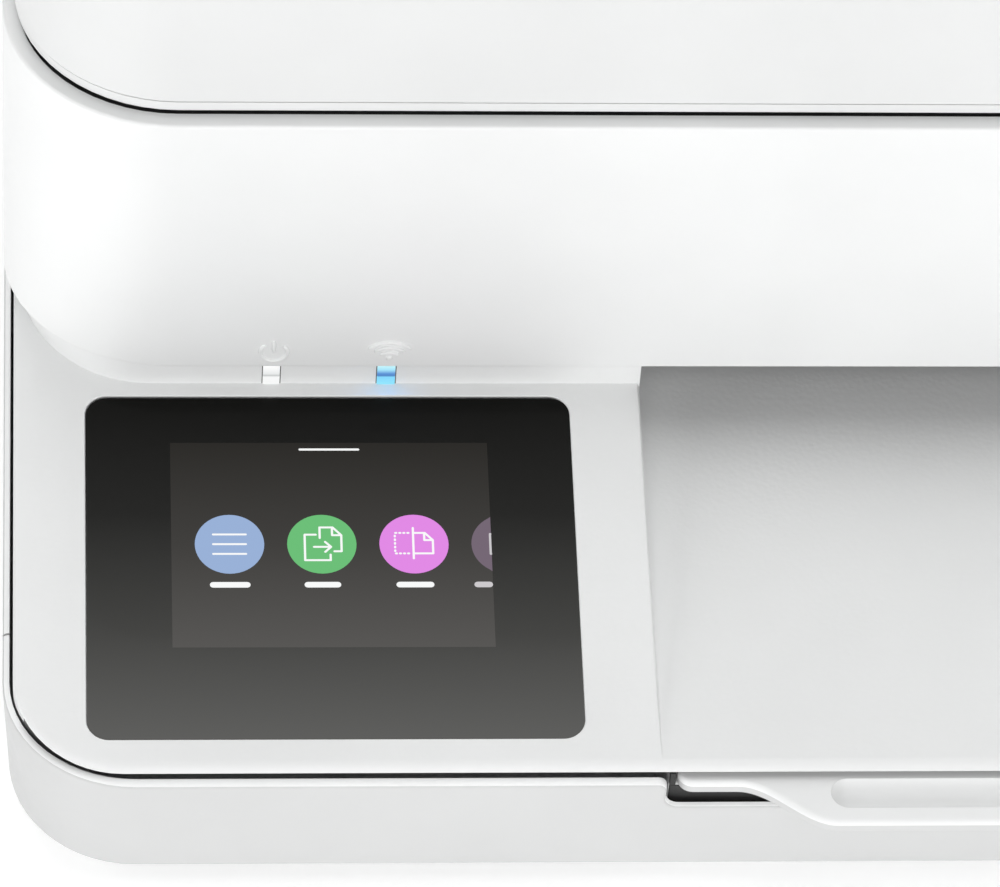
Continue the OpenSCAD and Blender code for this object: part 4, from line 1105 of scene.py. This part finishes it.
def build_scanner():
    """Outer shell of the scanner unit, with its window, vents and hinge knuckles."""
    shape = Shape()
    z0, z1 = SCAN_Z0, SCAN_Z1
    foot = 0.4
    edge = 0.55
    loops = [scan_face(2.6, z1 - 3), scan_face(2.6, z0)]
    loops += [scan_face(inset, z) for inset, z in round_foot(foot, z0, 6)]
    for k in range(1, 8):
        loops.append(scan_face(0, z0 + foot + (z1 - edge - z0 - foot) * k / 8))
    loops += [scan_face(inset, z) for inset, z in round_top(edge, z1, 6)]
    band = len(loops)
    loops += [ring(SCAN, SCAN_R, z1, 2.4, 3.5, 2.4), ring(SCAN, SCAN_R, z1 - 0.12, 2.5, 3.62, 2.5)]
    loops += [ring(SCAN, SCAN_R, z1 - 2.2, 2.5, 3.62, 2.5), ring(SCAN, SCAN_R, z1 - 2.2, 6, 7, 6)]
    loops += [ring(SCAN, SCAN_R, z1 - 1.0, 6, 7, 6)]
    window = (pad_low.x - 3, pad_high.x + 3, *WINDOW_Y)
    for inset, fall in ((-0.4, 1.0), (-0.12, 1.12), (0, 1.4), (0, 3)):
        loops.append(ring(window, 3, z1 - fall, inset))
    # The groove beneath the lid's lip is near-black: painted shade in the crevice.
    shape.loft(loops, join=True, paint=lambda row, place: 1 if band < row <= band + 3 else 0)
    piece = make("scanner_case", shape, "scanner_unit", [white_shell, inner_painted_shade],
                 ["scanner_shell"])
    holes = Shape()
    for i in range(-12, 13):
        cutter_box(holes, (i * 8 - 2, BACK - 4, 76), (i * 8 + 2, BACK + 1, 88))
    cut(piece, holes)

    knuckles = Shape()
    for x in LIFT_XS:
        bar(knuckles, (x - 7.7, LIFT_Y, LIFT_Z), (x + 7.7, LIFT_Y, LIFT_Z), 3, 0.4)
        slab(knuckles, (x - 7.7, x + 7.7, LIFT_Y - 3, LIFT_Y + 3), 0.6, LIFT_Z, z0 + 2, 0.3)
        slab(knuckles, (x - 7.7, x + 7.7, LIFT_Y - 3, BACK - 1), 0.6, z0 + 0.4, z0 + 3, 0.3)
        bar(knuckles, (x - 16, LIFT_Y, LIFT_Z), (x + 16, LIFT_Y, LIFT_Z), 1.4, 0.3)
    for x in HINGE_XS:
        for side in (-1, 1):
            xa = x + side * 12 - 4
            bar(knuckles, (xa, HINGE_Y, HINGE_Z), (xa + 8, HINGE_Y, HINGE_Z), 4.5, 0.5)
            slab(knuckles, (xa, xa + 8, BACK - 1, HINGE_Y + 4.5), 0.8, HINGE_Z - 11, HINGE_Z, 0.5)
    make("scanner_knuckles", knuckles, "scanner_unit", [white_shell])


def on_scan_face(x, z, lift=0.0):
    """Point on the scanner's leaning front face."""
    return (x, SCAN[2] + scan_lean(z) - lift, z)


def build_symbols():
    """Raised power and wireless symbols on the lower edge of the scanner's face."""
    shape = Shape()
    bead = 0.36
    flat = 0.95
    x = LIGHTS[0][0] + 0.15
    z = SCAN_Z0 + 3.7
    r = 2.1
    sweep = [math.radians(a) for a in range(128, 413, 9)]
    tube(shape, [on_scan_face(x + r * math.cos(a), z + r * math.sin(a)) for a in sweep], bead, flat=flat)
    tube(shape, [on_scan_face(x, z + k * 0.55) for k in range(6)], bead, flat=flat)
    x = LIGHTS[1][0] + 0.15
    z = SCAN_Z0 + 2.3
    below = z - 0.25
    for r, spread in ((1.7, 54), (2.9, 51), (4.1, 52)):
        sweep = [math.radians(90 + spread * k / 12) for k in range(-12, 13)]
        arc = [on_scan_face(x + r * math.cos(a), below + r * math.sin(a)) for a in sweep]
        tube(shape, arc, 0.34, flat=1.15)
    dot = [2 * math.pi * k / 24 for k in range(24)]
    loops = []
    for size, lift in ((0.5, 0.0), (0.45, 0.16), (0.25, 0.26)):
        loops.append([on_scan_face(x + size * math.cos(a), z + size * math.sin(a), lift) for a in dot])
    shape.loft(loops, end=True)
    make("face_symbols", shape, "scanner_unit", [tray_white], angle=60)


# ---- lid and document feeder

def build_lid():
    """Lid with its lower lip, the housing of the feeder and the rails that receive the pages."""
    shape = Shape()
    lip = LID_Z0
    line = lip + 2.3
    pairs = [(4, LID_Z1 - 3), (4, lip)] + round_foot(1.15, lip, 7, 0.3)
    pairs += [(0.3, line - 0.1), (0.36, line), (1.1, line + 0.02), (1.1, line + 0.45), (0.12, line + 0.48),
              (0.03, line + 0.56), (0, line + 0.75), (0, lip + 12)]
    pairs += round_top(6, LID_Z1, 10)
    shape.solid([ring(LID, LID_R, z, inset) for inset, z in pairs])

    # Feeder housing, open to the right where the pages go in and out.
    x0, x1, y0, y1 = FEEDER
    r = FEEDER_R
    mouth = math.radians(55)
    profile = round_foot(0.2, LID_Z1 - 1, 4) + round_top(0.9, FEEDER_Z, 4)
    profile += [(2.2, FEEDER_Z), (2.5, FEEDER_Z - 0.5), (2.5, LID_Z1 - 1)]
    arcs = (
        (x1 - r, y0 + r, math.pi * 1.5 + mouth, math.pi * 1.5),
        (x0 + r, y0 + r, math.pi * 1.5, math.pi),
        (x0 + r, y1 - r, math.pi, math.pi / 2),
        (x1 - r, y1 - r, math.pi / 2, math.pi / 2 - mouth),
    )
    stations = []
    for cx, cy, first, last in arcs:
        for k in range(ARC + 1):
            a = first + (last - first) * k / ARC
            stations.append([(cx + (r - t) * math.cos(a), cy + (r - t) * math.sin(a), z) for t, z in profile])
    shape.solid(stations)
    slab(shape, (x1 - 2.6, x1, y0 + 5.5, y1 - 5.5), 0.9, LID_Z1 - 1, LID_Z1 + 2, 0.5)
    for y in (y0 + 4, y1 - 8):
        slab(shape, (INPUT_X - 4, INPUT_X + 3, y, y + 4), 1.2, LID_Z1 - 1, INPUT_Z + 3, 0.5)

    # Rails for the pages that come out, and the thumb stop at their far end.
    for y in (-40, -2, 36, 74, 112):
        slab(shape, (FEEDER[1] + 18, 176, y - 1.1, y + 1.1), 1.05, LID_Z1 - 0.5, LID_Z1 + 1.0, 0.5)
    slab(shape, (186, 192, 6, 66), 2.9, LID_Z1 - 0.5, LID_Z1 + 5, 1.4)

    for x in HINGE_XS:
        bar(shape, (x - 7.7, HINGE_Y, HINGE_Z), (x + 7.7, HINGE_Y, HINGE_Z), 4.5, 0.5)
        slab(shape, (x - 7.7, x + 7.7, LID[3] - 1, HINGE_Y), 0.8, HINGE_Z - 0.8, HINGE_Z + 4, 0.5)
        bar(shape, (x - 16, HINGE_Y, HINGE_Z), (x + 16, HINGE_Y, HINGE_Z), 1.9, 0.3)
    make("lid_case", shape, "lid", [lid_painted_shade], ["lid_shell"])


def build_feeder_cover():
    """Rounded cover over the feeder's rollers, with a finger recess at its free edge."""
    shape = Shape()
    z0, z1 = cover_low.z, cover_high.z
    pairs = [(2.5, z1 - 4), (2.5, z0 + 1.6), (2.2, z0 + 1.35), (0.6, z0 + 1.35), (0.15, z0 + 1.5),
             (0, z0 + 1.9)]
    pairs += round_top(8, z1 - 0.6, 11) + [(14, z1 - 0.25), (24, z1 - 0.05), (40, z1)]
    loops = []
    for inset, z in pairs:
        if inset < FEEDER_R:
            loops.append(ring(FEEDER, FEEDER_R, z, inset))
        else:
            x0, x1, y0, y1 = FEEDER
            box = (x0 + inset, x1 - inset, y0 + inset, y1 - inset)
            loops.append(ring(box, 0.5, z))
    shape.solid(loops)
    x_pin, z_pin = FEEDER[0] + 1.6, z0 + 1.6
    bar(shape, (x_pin, FEEDER[2] + 18, z_pin), (x_pin, FEEDER[3] - 18, z_pin), 1.5, 0.3)
    middle = (FEEDER[2] + FEEDER[3]) / 2
    slab(shape, (FEEDER[1] - 5, FEEDER[1] - 0.6, middle - 26, middle + 26), 1.8, z0 + 0.2, z0 + 3.4, 0.8)
    make("feeder_lid", shape, "feeder_cover", [white_shell], ["feeder_cover"])


def build_input_tray():
    """Tray for the pages to be fed: a recessed deck with ribs, hinged at its lower edge."""
    shape = Shape()
    y0, y1 = FEEDER[2], FEEDER[3]
    box = (5, 208, y0, y1)
    pairs = [(3, -1.5), (0.6, -1.5), (0.15, -1.3), (0, -0.9), (0, 0.5), (0.25, 1.15), (0.9, 1.5), (5.5, 1.5),
             (6.2, 1.3), (6.6, 0.9)]
    shape.solid([ring(box, 9, z, inset) for inset, z in pairs])
    for y in (y0 + 20, y0 + 52, (y0 + y1) / 2, y1 - 52, y1 - 20):
        slab(shape, (118, 196, y - 0.9, y + 0.9), 0.85, 0.6, 1.5, 0.3)
    for y in (y0 + 30, (y0 + y1) / 2, y1 - 30):
        slab(shape, (16, 190, y - 1.2, y + 1.2), 1.1, -2.4, -1.2, 0.5)
    for y in (y0 + 9.5, y1 - 12.5):
        slab(shape, (-1, 8, y, y + 3), 0.8, -1.5, 1.5, 0.4)
    for y in (y0 + 3.5, y1 - 11.5):
        bar(shape, (0, y, 0), (0, y + 8, 0), 2, 0.3)
    place = Matrix.Translation((INPUT_X, 0, INPUT_Z)) @ Matrix.Rotation(-INPUT_TILT, 4, "Y")
    make("input_tray", shape.moved(place), "feeder_input_tray", [tray_white],
         ["feeder_input_tray"])


# ---- CAD nodes that stay

def dress_cad_nodes():
    """Gives every CAD node its finish, and eased edges where the node stays in view."""
    slots = {part["node"]: part["material_slot"] for part in frame["record"]["subparts"]}
    for name, node in frame["nodes"].items():
        node.data.materials.clear()
        node.data.materials.append(finish[slots[name]])
        if node.hide_render:
            continue
        weld = node.modifiers.new("weld", "WELD")
        weld.merge_threshold = 1e-6
        flat = node.modifiers.new("flat", "DECIMATE")
        flat.decimate_type = "DISSOLVE"
        flat.angle_limit = math.radians(1)
        ease = node.modifiers.new("ease", "BEVEL")
        ease.width = 0.25 * MM
        ease.segments = 2
        ease.limit_method = "ANGLE"
        ease.angle_limit = math.radians(40)
        ease.use_clamp_overlap = True


# ---- stage, light and camera

# Area lights: name, place, size and power, all facing one point. Metres and watts.
SOFTBOX_TARGET = (0, 0, 0.1)
SOFTBOXES = (
    ("overhead", (0.1, 0.5, 2.2), (2.4, 2.0), 23.6),
    ("back", (0, 2.0, 1.8), (2.4, 1.2), 26),
    ("front_key", (0, -1.8, 1.8), (2.4, 1.0), 15.5),
    ("front_fill", (0.3, -2.6, 0.7), (2.6, 1.2), 31),
    ("left_fill", (-2.4, -0.2, 1.0), (1.6, 1.2), 16),
)


def build_stage():
    """Pale floor and soft studio light."""
    mesh = bpy.data.meshes.new("floor")
    reach = 6.0
    mesh.from_pydata([(-reach, -reach, 0), (reach, -reach, 0), (reach, reach, 0), (-reach, reach, 0)], [],
                     [(0, 1, 2, 3)])
    floor = add_object("floor", mesh)
    n = Nodes("floor")
    away = n.add("VectorMath", {0: n.place})
    away.operation = "LENGTH"
    mesh.materials.append(n.surface({
        "Base Color": n.ramp(n.noise(300, 2), [(0.3, (0.94, 0.94, 0.94)), (0.7, (0.96, 0.96, 0.96))]),
        "Emission Strength": n.spread(away.outputs["Value"], 0.3, 1.1, 900, 2600),
    }, Roughness=0.9, Emission_Color=(1, 1, 1, 1)))

    world = bpy.data.worlds.new("studio")
    world.use_nodes = True
    set_inputs(world.node_tree.nodes["Background"], Color=(1, 1, 1, 1), Strength=0.1)
    bpy.context.scene.world = world

    def softbox(name, place, target, size, power):
        light = bpy.data.lights.new(name, "AREA")
        light.shape = "RECTANGLE"
        light.size, light.size_y = size
        light.energy = power
        lamp = add_object(name, light)
        lamp.location = place
        lamp.rotation_euler = (Vector(target) - Vector(place)).to_track_quat("-Z", "Y").to_euler()
        return lamp

    for name, place, size, power in SOFTBOXES:
        softbox(name, place, SOFTBOX_TARGET, size, power)

    # The blue window also lights the panel in front of it.
    start = Vector((LIGHTS[1][0], NECK_Y - 1.0, SHELF_Z + 0.9)) * MM
    end = Vector((LIGHTS[1][0], NECK_Y - 4.0, SHELF_Z)) * MM
    lamp = softbox("wireless_glow", start, end, (0.002, 0.001), 0.00018)
    lamp.data.color = (0.08, 0.4, 1.0)
    lamp.visible_glossy = False


CAMERA_PLACE = (-211.8, -771.1, 813.0)
CAMERA_LENS = 238.2
CAMERA_PITCH = math.radians(50)
CAMERA_YAW = 0.0695


def build_camera():
    """Long lens above the left front corner, looking down and slightly to the right."""
    camera = bpy.data.cameras.new("camera")
    camera.sensor_width = 36
    camera.lens = CAMERA_LENS
    camera.clip_end = 20
    camera.dof.use_dof = False
    eye = add_object("camera", camera)
    ahead = Vector((CAMERA_YAW, math.cos(CAMERA_PITCH), -math.sin(CAMERA_PITCH))).normalized()
    right = (Vector((1, 0, 0)) - ahead * ahead.x).normalized()
    up = right.cross(ahead)
    turn = Matrix((right, up, -ahead)).transposed().to_4x4()
    eye.matrix_world = Matrix.Translation(Vector(CAMERA_PLACE) * MM) @ turn
    bpy.context.scene.camera = eye


build_tray_front()
build_base()
build_upper_housing()
build_neck()
build_touch_glass()
build_screen_graphics()
build_light_windows()
build_extender()
build_scanner()
build_symbols()
build_lid()
build_feeder_cover()
build_input_tray()
dress_cad_nodes()
build_stage()
build_camera()

view = bpy.context.scene.view_settings
view.view_transform = "Standard"
view.look = "None"
